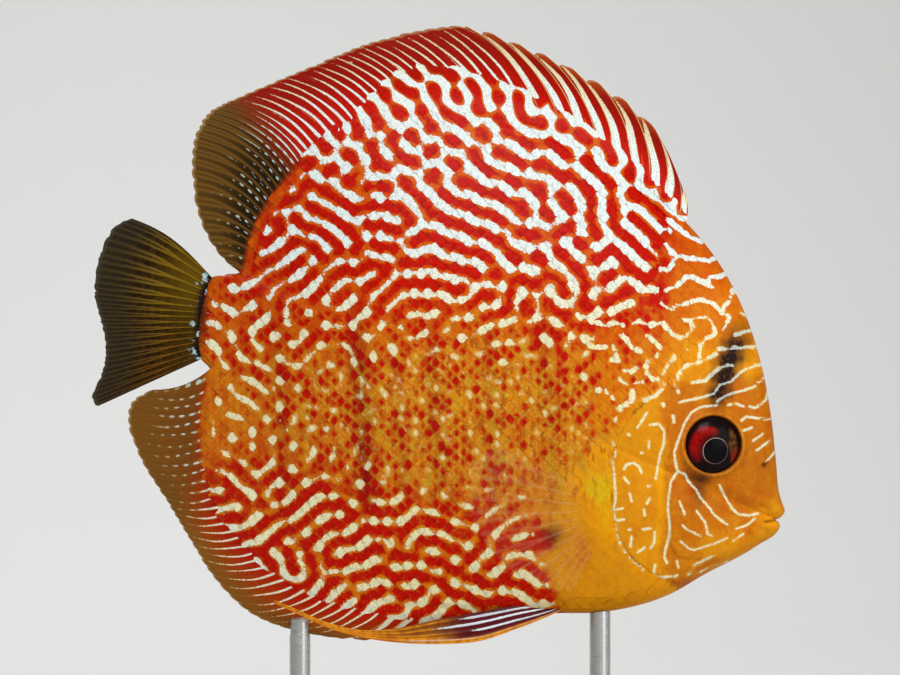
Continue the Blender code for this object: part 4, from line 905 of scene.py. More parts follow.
def plate_mesh():
    """One scale: a domed top of a few faces, closed by a flat underside."""
    first, last = PLATE_ALONG[0], PLATE_ALONG[-1]
    points, tops = [], []
    for along in PLATE_ALONG:
        share = (along - first) / (last - first)
        width = PLATE_HALF * math.sqrt(1 - max(0.0, (share - 0.45) / 0.57) ** 2.4)
        for across in PLATE_ACROSS:
            lift = PLATE_SINK + (PLATE_LIFT - PLATE_SINK) * share + PLATE_DOME * (1 - across**2)
            points.append((along - 0.25 * across**2 * share, width * across, lift))
    wide, long = len(PLATE_ACROSS), len(PLATE_ALONG)
    for a in (i * wide + j for i in range(long - 1) for j in range(wide - 1)):
        tops.append((a, a + wide, a + wide + 1, a + 1))
    rim = list(range(wide)) + [i * wide + wide - 1 for i in range(1, long)]
    rim += [(long - 1) * wide + j for j in reversed(range(wide - 1))]
    rim += [i * wide for i in reversed(range(1, long - 1))]
    points.append((-0.4, 0.0, PLATE_SINK - PLATE_THICK))
    under = [(len(points) - 1, b, a) for a, b in zip(rim, rim[1:] + rim[:1])]
    mesh = bpy.data.meshes.new("plate")
    mesh.from_pydata(np.array(points) * MM, [], [tuple(reversed(face)) for face in tops + under])
    mesh.shade_smooth()
    mark(mesh, {
        "along": [(p[0] - first) / (last - first) for p in points],
        "across": [p[1] / PLATE_HALF for p in points],
        "lift": [p[2] for p in points],
    })
    return mesh


def sheath_half(x, z):
    """Half thickness of a fin's fleshy root, which carries on from the body's edge."""
    out = np.maximum(-within(x, z), 0.0)
    return ROOT_HALF + (spoke(SPOKE_RIM, x, z) * 1.02 - ROOT_HALF) * np.exp(-((out / 4.2) ** 1.5))


def hide(x, z, by_fin=True):
    """Half thickness of the flesh, running smoothly into a fin's fleshy root beside a fin."""
    flesh, root = half_thickness(x, z), sheath_half(x, z)
    joined = np.logaddexp(HIDE_JOIN * flesh, HIDE_JOIN * root) / HIDE_JOIN
    return np.where(by_fin, joined, flesh)


def enclosed(loop, x, z):
    """Which places lie inside a closed x, z loop."""
    inside = np.zeros(np.shape(x), bool)
    for (ax, az), (bx, bz) in zip(loop, np.roll(loop, -1, axis=0)):
        crosses = (az > z) != (bz > z)
        inside ^= crosses & (x < ax + (z - az) * (bx - ax) / (bz - az + 1e-12))
    return inside


def scale_roots():
    """Columns and rows of the scales that the body carries, and which of them stand by a fin."""
    columns, rows = np.meshgrid(np.arange(*COLUMNS), np.arange(*ROWS))
    columns, rows = columns.ravel().astype(float), rows.ravel().astype(float)
    x, z = scale_middle(columns, rows)
    deep = within(x, z)
    loops = []
    for base, tips in MEDIAN_FINS:
        feet, ends, middle = fin_rays(base, tips, np.linspace(0.01, 0.985, 60), 9.0)
        web = along_ray(feet, middle, ends, np.linspace(0, 0.78, 9))
        loops.append(np.vstack([web[0], web[1:-1, -1], web[-1, ::-1], web[-2:0:-1, 0]]))
    backed, by_fin = np.ones(len(x), bool), np.zeros(len(x), bool)
    for dx, dz in ((-1.5, 1.1), (-1.5, -1.1), (1.4, 1.1), (1.4, -1.1), (0.0, 0.0)):
        webbed = enclosed(loops[0], x + dx, z + dz) | enclosed(loops[1], x + dx, z + dz)
        backed &= webbed | (within(x + dx, z + dz) > 0.25)
        by_fin |= webbed
    face = (z < read_off(FACE_TOP, x) + 0.6) & (x > read_off(GILL_EDGE, z) - 1.4)
    bald = (x > 56.0 + 0.12 * z) | (face & (x > 35.0))
    kept = ~bald & backed & ((deep > 1.3) | ((deep > -SHEATH) & by_fin & (dusk(x, z) < 0.2))) & (x > -56.5)
    return columns[kept], rows[kept], by_fin[kept]


def slopes(surface, x, z, reach):
    """How steeply a half thickness changes along and up the flank."""
    along = (surface(x + reach, z) - surface(x - reach, z)) / (2 * reach)
    up = (surface(x, z + reach) - surface(x, z - reach)) / (2 * reach)
    return along, up


coat_tree = bpy.data.node_groups.new("scale_coat", "GeometryNodeTree")
for name, kind in (("Geometry", "Geometry"), ("Plate", "Object"), ("Finish", "Material")):
    coat_tree.interface.new_socket(name, in_out="INPUT", socket_type="NodeSocket" + kind)
coat_tree.interface.new_socket("Geometry", in_out="OUTPUT", socket_type="NodeSocketGeometry")
SOCKETS = {item.name: item.identifier for item in coat_tree.interface.items_tree if item.in_out == "INPUT"}
nodes = Paint(coat_tree)
entry = nodes.node("NodeGroupInput")
plate_in = nodes.node("GeometryNodeObjectInfo", {"Object": entry.outputs["Plate"], "As Instance": True})
turn_in, size_in = (
    nodes.node("GeometryNodeInputNamedAttribute", {"Name": name}, data_type="FLOAT_VECTOR").outputs[0]
    for name in ("turn", "size")
)
set_out = nodes.node("GeometryNodeInstanceOnPoints", {
    "Points": entry.outputs["Geometry"], "Instance": plate_in.outputs["Geometry"],
    "Rotation": turn_in, "Scale": size_in,
})
solid = nodes.node("GeometryNodeRealizeInstances", {0: set_out.outputs[0]}).outputs[0]
feeds = {"Geometry": solid, "Material": entry.outputs["Finish"]}
finished = nodes.node("GeometryNodeSetMaterial", feeds)
nodes.node("NodeGroupOutput", {0: finished.outputs[0]})

scale_coat, paint, group = dressed_finish("scale_coat", {"Coat Weight": 0.03, "Coat Roughness": 0.2})
along_in, across_in, warm_in = paint.read("along", "across", "warm")
# The scales' free edges carry a painted glint on the warm ground and painted shade on the white.
free_edge = paint.step(along_in, 0.84, 0.97)
glint = paint.times(free_edge, paint.step(warm_in, 0.1, 0.6, 0.04, 0.13))
lit_edge = paint.blend(glint, group.outputs["Color"], (0.72, 0.32, 0.03))
edge_shade = paint.blend(paint.times(free_edge, 0.32), group.outputs["Color"], (0.22, 0.24, 0.24))
paint.to("Base Color", paint.blend(group.outputs["Pale"], lit_edge, edge_shade))
fan = paint.figure("SINE", paint.times(across_in, 26.0))
rings = paint.figure("SINE", paint.times(along_in, 70.0))
paint.dent(paint.plus(paint.times(fan, 0.5), paint.times(rings, 0.35)), 0.012)

plate = set_down("plate", plate_mesh())
columns, rows, by_fin = scale_roots()
root_x, root_z = scale_middle(columns, rows)
root_half = hide(root_x, root_z, by_fin)
slope_x, slope_z = slopes(lambda x, z: hide(x, z, by_fin), root_x, root_z, 0.4)
shy = np.clip(1.0 - 0.06 * np.maximum(2.0 - within(root_x, root_z), 0), 0.55, 1.0)  # smaller at the edge
steep = eased(np.hypot(slope_x, slope_z), 0.5, 0.9)
tight = 1 - 0.6 * eased(root_x - read_off(CHEST_REAR, root_z), -3.0, 3.0) * eased(-root_z, 17.0, 24.0)
tailwards = Vector((-1, 0, 0))
for side, name in ((RIGHT, "scales_right"), (LEFT, "scales_left")):
    turns = []
    for a, b in zip(np.clip(slope_x, -1.2, 1.2), np.clip(slope_z, -1.2, 1.2)):
        normal = Vector((-a, side, -b)).normalized()
        tailward = (tailwards - normal * normal.dot(tailwards)).normalized()
        turns.append(tuple(Matrix((tailward, normal.cross(tailward), normal)).transposed().to_euler()))
    roots = bpy.data.meshes.new("roots")
    roots.from_pydata(placed(np.stack([root_x, side * root_half, root_z], axis=1)), [], [])
    sizes = np.repeat(shy[:, None], 3, axis=1)
    mark(roots, {"turn": turns, "size": sizes, "number": np.arange(len(root_x))})
    holder = set_down("roots", roots)
    growth = holder.modifiers.new("coat", "NODES")
    growth.node_group = coat_tree
    growth[SOCKETS["Plate"]] = plate
    growth[SOCKETS["Finish"]] = scale_coat
    grown = bpy.data.meshes.new_from_object(holder.evaluated_get(bpy.context.evaluated_depsgraph_get()))
    bpy.data.objects.remove(holder)
    spots = np.zeros(3 * len(grown.vertices), np.float32)
    grown.vertices.foreach_get("co", spots)
    spots = spots.reshape(-1, 3) / MM - (0, 0, LIFT)
    values = {}
    for key in ("number", "along", "across", "lift"):
        values[key] = np.zeros(len(spots), np.float32)
        grown.attributes[key].data.foreach_get("value", values[key])
    number = np.round(values["number"]).astype(int)
    # Where the flank isn't steep, each scale is draped over it, so that none stands off.
    gentle = 1 - steep[number]
    laid = side * (hide(spots[:, 0], spots[:, 2], by_fin[number]) + values["lift"] * (shy * tight)[number])
    spots[:, 1] = spots[:, 1] * (1 - gentle) + laid * gentle
    grown.vertices.foreach_set("co", placed(spots).astype(np.float32).ravel())
    for key in ("number", "lift", "turn", "size"):
        if key in grown.attributes:
            grown.attributes.remove(grown.attributes[key])
    mark(grown, dress(spots[:, 0], spots[:, 2], side, (columns[number], rows[number])))
    root_u, root_v = unrolled(root_x, root_z)
    patch_u, patch_v = SCALE_PATCH * (values["along"] - 0.5), SCALE_PATCH * 0.5 * values["across"]
    lay_out(grown, root_u[number] + patch_u, root_v[number] + patch_v)
    grown.name = name
    grown.shade_smooth()
    coat = set_down(name, grown)
    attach(coat, "root")
bpy.data.objects.remove(plate)

# THE EYES
# A glossy ball in each socket, proud of the head: a black pupil, set low, in a thin pinkish ring,
# and a black iris with red behind and above the pupil, amber ahead of it, and a black rim.
EYE_FRONT, EYE_BACK, EYE_AROUND = 33, 9, 72
EYE_RINGS = np.concatenate([np.linspace(0, 1, EYE_FRONT), np.linspace(0.96, 0.0, EYE_BACK)])
BLACK_IRIS, BLACK_RIM, PUPIL = (0.006, 0.003, 0.003), (0.007, 0.003, 0.003), (0.002, 0.002, 0.003)
EYE_SOCKETS = {"Roughness": 0.35, "Specular IOR Level": 0.03, "Coat Weight": 0.07, "Coat Roughness": 0.03}

eye_gloss, paint = new_finish("eye_gloss", EYE_SOCKETS)
reach_in, ahead_in, high_in = paint.read("reach", "ahead", "high")
low = paint.plus(high_in, 0.2)
from_pupil = paint.figure("SQRT", paint.times_plus(low, low, paint.times(ahead_in, ahead_in)))
from_pupil = paint.times_plus(paint.grain(600.0), 0.03, from_pupil)
wobble = paint.times_plus(high_in, 0.1, paint.times_plus(paint.grain(600.0), 0.03, reach_in))
fibres = paint.grain(900.0, 3.0)


def sector(ahead, high, wide, tall):
    """A soft oval patch on the iris, 1 at its middle."""
    a = paint.times(paint.minus(ahead_in, ahead), 1 / wide)
    b = paint.times(paint.minus(high_in, high), 1 / tall)
    return paint.step(paint.times_plus(a, a, paint.times(b, b)), 0.25, 1.4, 1.0, 0.0)


red_iris = paint.blend(paint.step(fibres, 0.35, 0.7), (0.33, 0.003, 0.003), (0.17, 0.002, 0.002))
red_iris = paint.blend(paint.step(from_pupil, 0.5, 0.72), (0.10, 0.002, 0.002), red_iris)
amber = paint.blend(paint.step(fibres, 0.4, 0.65), (0.03, 0.010, 0.004), (0.13, 0.052, 0.012))
colour = paint.blend(sector(0.74, 0.14, 0.30, 0.62), BLACK_IRIS, amber)
for place, patch_colour in (
    ((-0.58, 0.02, 0.36, 0.56), red_iris),
    ((-0.26, 0.42, 0.36, 0.20), red_iris),
    ((0.74, -0.40, 0.18, 0.34), (0.20, 0.012, 0.003)),
):
    colour = paint.blend(sector(*place), colour, patch_colour)
colour = paint.blend(paint.step(from_pupil, 0.455, 0.50, 1.0, 0.0), colour, (0.012, 0.004, 0.004))
colour = paint.blend(paint.step(from_pupil, 0.42, 0.43), PUPIL, colour)
lit_side = paint.step(paint.minus(high_in, ahead_in), -0.7, 0.2, 0.2, 0.9)
ring = paint.times(paint.step(from_pupil, 0.425, 0.432), paint.step(from_pupil, 0.445, 0.455, 1.0, 0.0))
colour = paint.blend(paint.times(ring, lit_side), colour, (0.50, 0.30, 0.24))
colour = paint.blend(paint.step(wobble, 0.78, 0.90), colour, BLACK_RIM)
paint.to("Base Color", colour)
paint.dent(paint.plus(fibres, paint.step(from_pupil, 0.42, 0.5)), 0.08)

for side, name in ((RIGHT, "eye_right"), (LEFT, "eye_left")):
    slope_x, slope_z = slopes(half_thickness, *EYE_AT, 1.5)
    normal = Vector((-float(slope_x), side, -float(slope_z))).normalized()
    centre = Vector((EYE_AT[0], side * float(half_thickness(*EYE_AT)), EYE_AT[1]))
    centre = centre + normal * (EYE_PROUD - EYE_DEPTH)
    over = (Vector((0, 0, 1)) - normal * normal.z).normalized()
    ahead = normal.cross(over) if side == LEFT else over.cross(normal)
    points, reaches, aheads, highs = [], [], [], []
    for number, ring in enumerate(EYE_RINGS):
        front = number < EYE_FRONT
        proud = math.sqrt(max(0.0, 1 - ring**2)) * (1 if front else -1) * EYE_DEPTH
        for turn in range(EYE_AROUND if 0 < number < len(EYE_RINGS) - 1 else 1):
            angle = math.tau * turn / EYE_AROUND
            spot = centre + normal * proud
            spot += (ahead * math.cos(angle) + over * math.sin(angle)) * (ring * EYE_RADIUS)
            points.append(tuple(spot))
            reaches.append(ring if front else 1.0)
            aheads.append(ring * math.cos(angle))
            highs.append(ring * math.sin(angle))
    starts = [1 + EYE_AROUND * k for k in range(len(EYE_RINGS) - 2)]
    rings = [[0]] + [list(range(start, start + EYE_AROUND)) for start in starts] + [[len(points) - 1]]
    faces = []
    for inner, outer in zip(rings, rings[1:]):
        for t in range(EYE_AROUND):
            u = (t + 1) % EYE_AROUND
            if len(inner) == 1:
                faces.append((inner[0], outer[t], outer[u]))
            elif len(outer) == 1:
                faces.append((inner[t], outer[0], inner[u]))
            else:
                faces.append((inner[t], outer[t], outer[u], inner[u]))
    first = np.array([points[i] for i in faces[0]])
    if np.dot(np.cross(first[1] - first[0], first[2] - first[0]), normal) < 0:
        faces = [tuple(reversed(face)) for face in faces]
    ball = new_piece(name + "_ball", points, faces, (name,))
    mark(ball.data, {"reach": reaches, "ahead": aheads, "high": highs})
    ball.data.materials.append(eye_gloss)

# THE DORSAL AND ANAL FINS
# Thin webs on a row of hard spines and a longer row of soft rays that fork once, rooted in the
# back and belly. The rays are ridges of the web; spines end in short free points.
RAY_HALF = 0.13  # half width of a ray, as a share of the way to the next
RAY_STEPS = (-0.5, -0.4, -0.3, -0.2, -0.1, 0.0, 0.1, 0.2, 0.3, 0.4)  # columns of the mesh about a ray
FIN_ROWS = 46
WEB_HALF = 0.16
TIP_ROUND = ((0.0, 0.985, 1.0), (1.0, 1.0, 0.45))  # how a fin thins at its very edge
DORSAL_NOTCH, ANAL_NOTCH = 4.4, 2.2  # how deep the web is cut behind the tips of the spines
# Rays stand closer in front: shares of their count, and of the base.
DORSAL_CROWD = ((0.0, 0.17, 0.3, 0.63, 1.0), (0.0, 0.3, 0.45, 0.75, 1.0))
ANAL_CROWD = ((0.0, 0.16, 1.0), (0.0, 0.2, 1.0))
# How far out the body's markings climb the fins before streaks take over, by shares of the base.
DORSAL_CLIMB = (
    (0, 0.3), (0.1, 1.2), (0.2, 3.0), (0.3, 6.0), (0.37, 8.6), (0.45, 10.2), (0.52, 9.0), (0.6, 4.5),
    (0.67, 0.2), (1, 0),
)
ANAL_CLIMB = ((0, 1.0), (0.5, 1.5), (0.65, 0.0), (1, 0))


def ray_columns(total, crowd=((0, 1), (0, 1))):
    """Shares of a fin's base for its columns, and each one's place between two rays.

    Crowd gives shares of the rays' count and of the base, to set some closer than others.
    """
    steps = np.concatenate([np.tile(RAY_STEPS, total), [0.5]])
    number = np.concatenate([np.repeat(np.arange(total), len(RAY_STEPS)), [total - 1]])
    shares = (number + 0.5 + steps) / total
    return np.interp(shares, *crowd), steps, number


def fin_piece(name, grid, sway, half, replaced, marks, finish, streaks=None):
    """A closed fin from a grid of x, z with its sideways sway and half thickness.

    Streaks give the white and the red along the rays, and the share by which they take over.
    """
    wide, long = grid.shape[:2]
    total = wide * long
    near, far = (
        np.stack([grid[..., 0], sway + side * half, grid[..., 1]], axis=2).reshape(-1, 3)
        for side in (RIGHT, LEFT)
    )
    index = np.arange(total).reshape(wide, long)
    corners = (index[:-1, :-1], index[1:, :-1], index[1:, 1:], index[:-1, 1:])
    faces = np.stack([corner.ravel() for corner in corners], axis=1)
    rim = np.concatenate([index[:, 0], index[-1, 1:], index[-2::-1, -1], index[0, -2:0:-1]])
    nexts = np.roll(rim, -1)
    walls = np.stack([nexts, rim, rim + total, nexts + total], axis=1)
    p, q, r = near[faces[0, :3]]
    if np.cross(q - p, r - p)[1] > 0:
        faces, walls = faces[:, ::-1], walls[:, ::-1]
    faces = np.vstack([faces, (faces + total)[:, ::-1], walls])
    piece = new_piece(name, np.vstack([near, far]), faces, replaced)
    values = {key: np.tile(np.broadcast_to(value, (wide, long)).ravel(), 2) for key, value in marks.items()}
    right_side = dress(near[:, 0], near[:, 2], RIGHT)
    left_side = dress(far[:, 0], far[:, 2], LEFT)
    values.update({key: np.concatenate([right_side[key], left_side[key]]) for key in right_side})
    if streaks:
        line, blood, share = (np.tile(value.ravel(), 2) for value in streaks)
        maze, line = values["white"] - 1.5 * eased(share, 0.5, 1.0), line - 1.5 * eased(1 - share, 0.5, 1.0)
        values["white"] = np.maximum(maze, line)
        values["red"] = values["red"] * (1 - share) + blood * share
        values["blue"] = values["blue"] * (1 - 0.75 * eased(values["out"], 0.45, 0.8))
    mark(piece.data, values)
    across = np.tile(np.repeat(np.linspace(0.01, 0.99, wide), long), 2)
    up = np.concatenate([np.tile(np.linspace(low, low + 0.48, long), wide) for low in (0.01, 0.51)])
    lay_out(piece.data, across, up)
    piece.data.materials.append(finish)


def median_fin(name, base, tips, total, spines, crowd, climb, replaced, finish):
    """The dorsal or anal fin as one web, with its hard spines and soft rays."""
    anal = base == ANAL_BASE
    shares, steps, number = ray_columns(total, crowd)
    feet, ends, middle = fin_rays(base, tips, shares, FIN_SINK)
    length = np.linalg.norm(ends - feet, axis=1)
    hard = number < spines
    behind_ray = np.where(steps < 0, 1 + steps, steps)  # place in the web between two rays
    deepest = ANAL_NOTCH if anal else DORSAL_NOTCH
    notch = np.where(hard, deepest * behind_ray**1.8, 0.45 * (np.abs(steps) / 0.5) ** 2)
    notch[(number == 0) & (steps < 0)] = 0.0  # no web stands free ahead of the first spine
    uneven = np.random.default_rng(total).normal(size=total)[number] * np.where(hard, 0.35, 0.12)
    most = np.interp(number, (0, 1, 2, 3), (0.06, 0.1, 0.17, 0.24))
    kept = 1 - np.minimum(0.9 * (notch + np.abs(uneven)) / length, most)
    kept = kept - np.interp(shares * total, (0.0, 0.5, 1.5), (0.1, 0.1, 0.0))  # so no columns cross
    t = np.linspace(0, 1, FIN_ROWS)
    grid = along_ray(feet, middle, ends, kept[:, None] * t)
    x, z = grid[..., 0], grid[..., 1]
    hard, steps, number = hard[:, None], steps[:, None], number[:, None]

    # The web with its rays, its fleshy root and its thin edge.
    fork = np.where(hard, 0.0, 0.2 * eased(t, 0.45, 0.85))
    ray = hump(np.abs(steps) - fork, np.where(hard, 0.085, RAY_HALF))
    stand = np.where(hard, 0.36, 0.22) * (1 - 0.75 * t)
    root = np.where(within(x, z) > 0, hide(x, z) - COAT, sheath_half(x, z))
    half = np.maximum(np.maximum(WEB_HALF * (1 - 0.45 * t) + ray * stand, 0.0), root)
    half = half * np.interp(t, *TIP_ROUND)
    sway = 0.35 * np.sin(shares * 21.0)[:, None] * t**2

    # White streaks between the rays, which break up into beads where the fin is brown.
    brown = dusk(x, z)
    outside = np.maximum(-within(x, z), 0.0)
    fate = np.random.default_rng(total + 1).random((total, 3))[number[:, 0]]
    wobble = 0.07 * np.sin(9 * t + 2.4 * number) + 0.16 * (fate[:, :1] - 0.5)
    crest = np.cos(math.tau * (steps + np.where(hard, 0.22, -0.27) + wobble))
    level = np.where(hard, -0.4, 0.38) + np.where(hard, 1.15, 0.5) * t**0.8 + 0.14 * anal
    level = level + 0.3 * eased(t, 0.92 - 0.3 * fate[:, 1:2] ** 2, 1.05)
    beads = 0.5 + 0.5 * np.cos(math.tau * outside / 2.4 + 2.4 * number)
    beaded = crest * (0.35 + 0.65 * beads) - 0.62 - 0.3 * fate[:, 2:]
    faint = crest - 0.86 - 0.25 * (fate[:, :1] < 0.3) - 0.4 * eased(t, 0.6, 0.95)
    dim = np.where(outside < 9.0 + 5.0 * fate[:, 1:2], beaded, faint)
    streak = 0.5 + 0.95 * ((crest - level) * (1 - brown) + dim * brown)
    maze_to = read_off(climb, shares)[:, None]
    streaks = (streak, eased(level - crest, 0.0, 0.5), eased(outside, maze_to, maze_to + 2.6))
    marks = {"ray": ray, "out": t, "hard": hard, "dusk": brown, "rust": float(anal)}
    fin_piece(name, grid, sway, half, replaced, marks, finish, streaks)


web, paint, group = dressed_finish("fin_web", {"Coat Weight": 0.05, "Coat Roughness": 0.25})
ray_in, out_in, dusk_in, hard_in, rust_in = paint.read("ray", "out", "dusk", "hard", "rust")
pale = group.outputs["Pale"]
margin = paint.blend(rust_in, (0.24, 0.006, 0.002), (0.25, 0.055, 0.004))
margin = paint.blend(paint.times(rust_in, paint.step(out_in, 0.6, 0.95)), margin, (0.19, 0.085, 0.010))
maroon = paint.blend(paint.step(out_in, 0.25, 0.8, 0.0, 0.9), group.outputs["Color"], margin)
lines = paint.blend(paint.step(out_in, 0.5, 0.95, 0.0, 0.65), group.outputs["Color"], (0.60, 0.42, 0.20))
colour = paint.blend(pale, maroon, lines)
brown = paint.blend(paint.step(out_in, 0.3, 1.0), (0.016, 0.009, 0.003), (0.075, 0.038, 0.006))
brown = paint.blend(paint.times(ray_in, 0.55), brown, (0.23, 0.105, 0.018))
brown = paint.blend(paint.times(rust_in, 0.8), brown, (0.17, 0.068, 0.009))
streaks = paint.times(pale, paint.step(out_in, 0.35, 0.8, 1.0, 0.15))
streak_colour = paint.blend(paint.step(out_in, 0.3, 0.7), (0.42, 0.55, 0.54), (0.56, 0.48, 0.28))
colour = paint.blend(dusk_in, colour, paint.blend(streaks, brown, streak_colour))
fringe = paint.times(paint.step(out_in, 0.965, 0.99), 0.55)
colour = paint.blend(fringe, colour, (0.55, 0.34, 0.12))
lobe = paint.times(hard_in, paint.step(out_in, 0.80, 0.99), paint.step(pale, 0.0, 1.0, 0.42, 0.0))
colour = paint.blend(lobe, colour, (0.48, 0.10, 0.006))
gilt = paint.times(hard_in, paint.step(ray_in, 0.55, 0.95), paint.step(out_in, 0.2, 0.4), 0.8)
paint.to("Base Color", paint.blend(gilt, colour, (0.68, 0.46, 0.18)))


def thinned(paint, ray_in, out_in, start):
    """How solid a web is: a little clearer from start outwards, least of all on its rays."""
    clear = paint.times(paint.step(out_in, start, 1.0), paint.step(ray_in, 0.1, 0.7, 0.07, 0.02))
    return paint.minus(1.0, clear)


paint.to("Alpha", thinned(paint, ray_in, out_in, 0.6))
paint.dent(paint.plus(paint.grain(1800.0), ray_in), 0.05)

median_fin(
    "dorsal_fin", DORSAL_BASE, DORSAL_TIPS, DORSAL_RAYS, DORSAL_SPINES, DORSAL_CROWD, DORSAL_CLIMB,
    ("dorsal_fin_spiny", "dorsal_fin_soft"), web,
)
median_fin(
    "anal_fin", ANAL_BASE, ANAL_TIPS, ANAL_RAYS, ANAL_SPINES, ANAL_CROWD, ANAL_CLIMB,
    ("anal_fin_spiny", "anal_fin_soft"), web,
)

# THE TAIL FIN
# A fan of olive-gold rays with dark web between, each ray forking twice, with a greyish outer edge.
TAIL_BASE = (21.9, 26.2)
TAIL_TIPS = [
    (0.0, -73.4, 27.6), (0.08, -77.6, 25.2), (0.19, -80.8, 18.6), (0.34, -81.9, 10.4), (0.5, -80.7, 4.6),
    (0.66, -79.4, -1.0), (0.8, -80.0, -7.6), (0.92, -82.4, -13.4), (1.0, -81.4, -16.0),
]
TAIL_RAYS, TAIL_ROWS, TAIL_SINK = 18, 40, 2.0
shares, steps, number = ray_columns(TAIL_RAYS)
feet, ends, _ = fin_rays(TAIL_BASE, TAIL_TIPS, shares, TAIL_SINK)
rays = ends - feet
length = np.linalg.norm(rays, axis=1, keepdims=True)
uneven = np.abs(np.random.default_rng(16).normal(size=len(shares))) * 0.14
ends = ends - rays / length * (0.25 * (np.abs(steps) / 0.5) ** 2 + uneven)[:, None]
t = np.linspace(0, 1, TAIL_ROWS)
grid = feet[:, None] * (1 - t[None, :, None]) + ends[:, None] * t[None, :, None]
grid[..., 1] += 2.4 * np.clip(1 - shares / 0.4, 0, 1)[:, None] ** 1.3 * np.sin(math.pi * t)
fork = 0.17 * eased(t, 0.3, 0.55) + 0.08 * eased(t, 0.6, 0.9)
ray = hump(np.abs(steps)[:, None] - fork, 0.12)
half = 0.15 * (1 - 0.4 * t) + ray * (0.30 - 0.22 * t) + 1.0 * np.clip(1 - t / 0.18, 0, 1) ** 1.6
half = half * np.interp(t, *TIP_ROUND)
sway = -0.9 * np.sin(math.pi * t) + 0.25 * np.sin(shares * 17)[:, None] * t**2

tail_web, paint = new_finish("tail_web", {"Roughness": 0.4, "Specular IOR Level": 0.02})
ray_in, out_in, share_in = paint.read("ray", "out", "share")
flecks = paint.grain(900.0, 3.0)
gold_ray = paint.blend(paint.step(share_in, 0.25, 0.95), (0.20, 0.115, 0.006), (0.15, 0.055, 0.006))
gold_ray = paint.blend(paint.step(out_in, 0.3, 0.85), gold_ray, (0.048, 0.032, 0.012))
dark_web = paint.blend(paint.step(flecks, 0.35, 0.7), (0.014, 0.006, 0.001), (0.040, 0.020, 0.003))
sheen = paint.times(paint.step(out_in, 0.15, 0.6, 1.0, 0.0), paint.step(share_in, 0.0, 0.7, 0.75, 0.15))
dark_web = paint.blend(sheen, dark_web, (0.15, 0.085, 0.004))
dark_web = paint.blend(paint.step(out_in, 0.5, 1.0), dark_web, (0.022, 0.016, 0.008))
on_ray = paint.step(paint.plus(ray_in, paint.times_plus(flecks, 0.5, -0.25)), 0.15, 0.8)
colour = paint.blend(on_ray, dark_web, gold_ray)
root_dark = paint.step(paint.times_plus(flecks, 0.10, out_in), 0.13, 0.19, 1.0, 0.0)
colour = paint.blend(root_dark, colour, (0.014, 0.010, 0.008))
beads = paint.times(paint.step(paint.grain(520.0, 1.0), 0.60, 0.68), paint.step(out_in, 0.12, 0.2, 1.0, 0.0))
colour = paint.blend(beads, colour, (0.40, 0.55, 0.58))
fringe = paint.times(paint.step(out_in, 0.955, 0.99), 0.4)
paint.to("Base Color", paint.blend(fringe, colour, (0.10, 0.095, 0.07)))
paint.to("Alpha", thinned(paint, ray_in, out_in, 0.5))
paint.dent(paint.plus(flecks, ray_in), 0.06)
marks = {"ray": ray, "out": t, "share": shares[:, None]}
fin_piece("caudal_fin_web", grid, sway, half, ("caudal_fin",), marks, tail_web)

# THE PELVIC FINS
# A pair below the breast: a hard spine and soft rays laid back along the belly, and drawn out
# to one long thread. Ice-blue streaks on dark maroon, with an orange lower edge.

# Along the fin: x, z of its lower edge, z of its upper edge, and its distance from the middle.
PELVIC = [
    (27.6, -61.6, -59.2, 2.4), (22.0, -64.2, -60.6, 3.6), (14.6, -67.0, -61.4, 4.7),
    (6.4, -69.6, -62.8, 5.3), (-3.0, -70.2, -64.6, 5.3), (-12.0, -69.9, -66.6, 4.9),
    (-21.0, -68.6, -67.0, 4.5), (-29.0, -66.2, -65.0, 4.2), (-35.4, -63.2, -62.2, 4.0),
    (-40.4, -60.9, -60.1, 3.9),
]
PELVIC_RAYS, PELVIC_ROWS = 4, 80
PELVIC_STREAKS = (0.62, 0.40, 0.52, 0.44)  # where each ray's pale streak ends
pelvic_web, paint = new_finish("pelvic_web", {"Roughness": 0.36, "Specular IOR Level": 0.15})
ray_in, out_in, share_in, pale_in = paint.read("ray", "out", "share", "pale")
ice = paint.step(paint.plus(pale_in, paint.times_plus(paint.grain(1100.0), 0.6, -0.3)), 0.35, 0.65)
colour = paint.blend(ice, (0.10, 0.003, 0.006), (0.72, 0.80, 0.88))
thread = paint.blend(paint.step(paint.grain(700.0), 0.35, 0.7), (0.84, 0.34, 0.008), (0.62, 0.18, 0.006))
web_dusk = paint.times(paint.step(out_in, 0.5, 0.75, 0.8, 0.0), paint.step(ray_in, 0.1, 0.6, 1.0, 0.2))
thread = paint.blend(paint.times(web_dusk, paint.step(share_in, 0.2, 0.4)), thread, (0.16, 0.03, 0.003))
low_edge = paint.step(share_in, 0.10, 0.22, 1.0, 0.0)
past = paint.step(out_in, 0.36, 0.5)
bare = paint.times(past, paint.step(pale_in, 0.3, 0.6, 1.0, 0.0))
paint.to("Base Color", paint.blend(paint.figure("MAXIMUM", low_edge, bare), colour, thread))
paint.to("Alpha", paint.step(past, 0.0, 1.0, 0.97, 0.9))
paint.dent(paint.plus(paint.grain(1500.0), ray_in), 0.06)
t = np.linspace(0, 1, PELVIC_ROWS)
along, low, high, apart = at_shares(through(PELVIC), t).T
shares, steps, number = ray_columns(PELVIC_RAYS)
across, steps = shares[:, None], steps[:, None]
x = along + 1.6 * across * np.clip(1 - t / 0.5, 0, 1)
z = low * (1 - across) + high * across
ray = hump(np.abs(steps), 0.17) * np.ones((1, len(t)))
wave = 0.1 * np.sin(7.0 * t + 1.9 * number[:, None])
stop = np.array(PELVIC_STREAKS)[number][:, None]
pale = hump(steps + wave, 0.2) * (1 - eased(t, stop - 0.12, stop))
half = 0.12 + ray * 0.26 * (1 - 0.75 * t) + 0.25 * (across < 0.2) * (1 - t)
marks = {"ray": ray, "out": t, "share": across, "pale": pale}
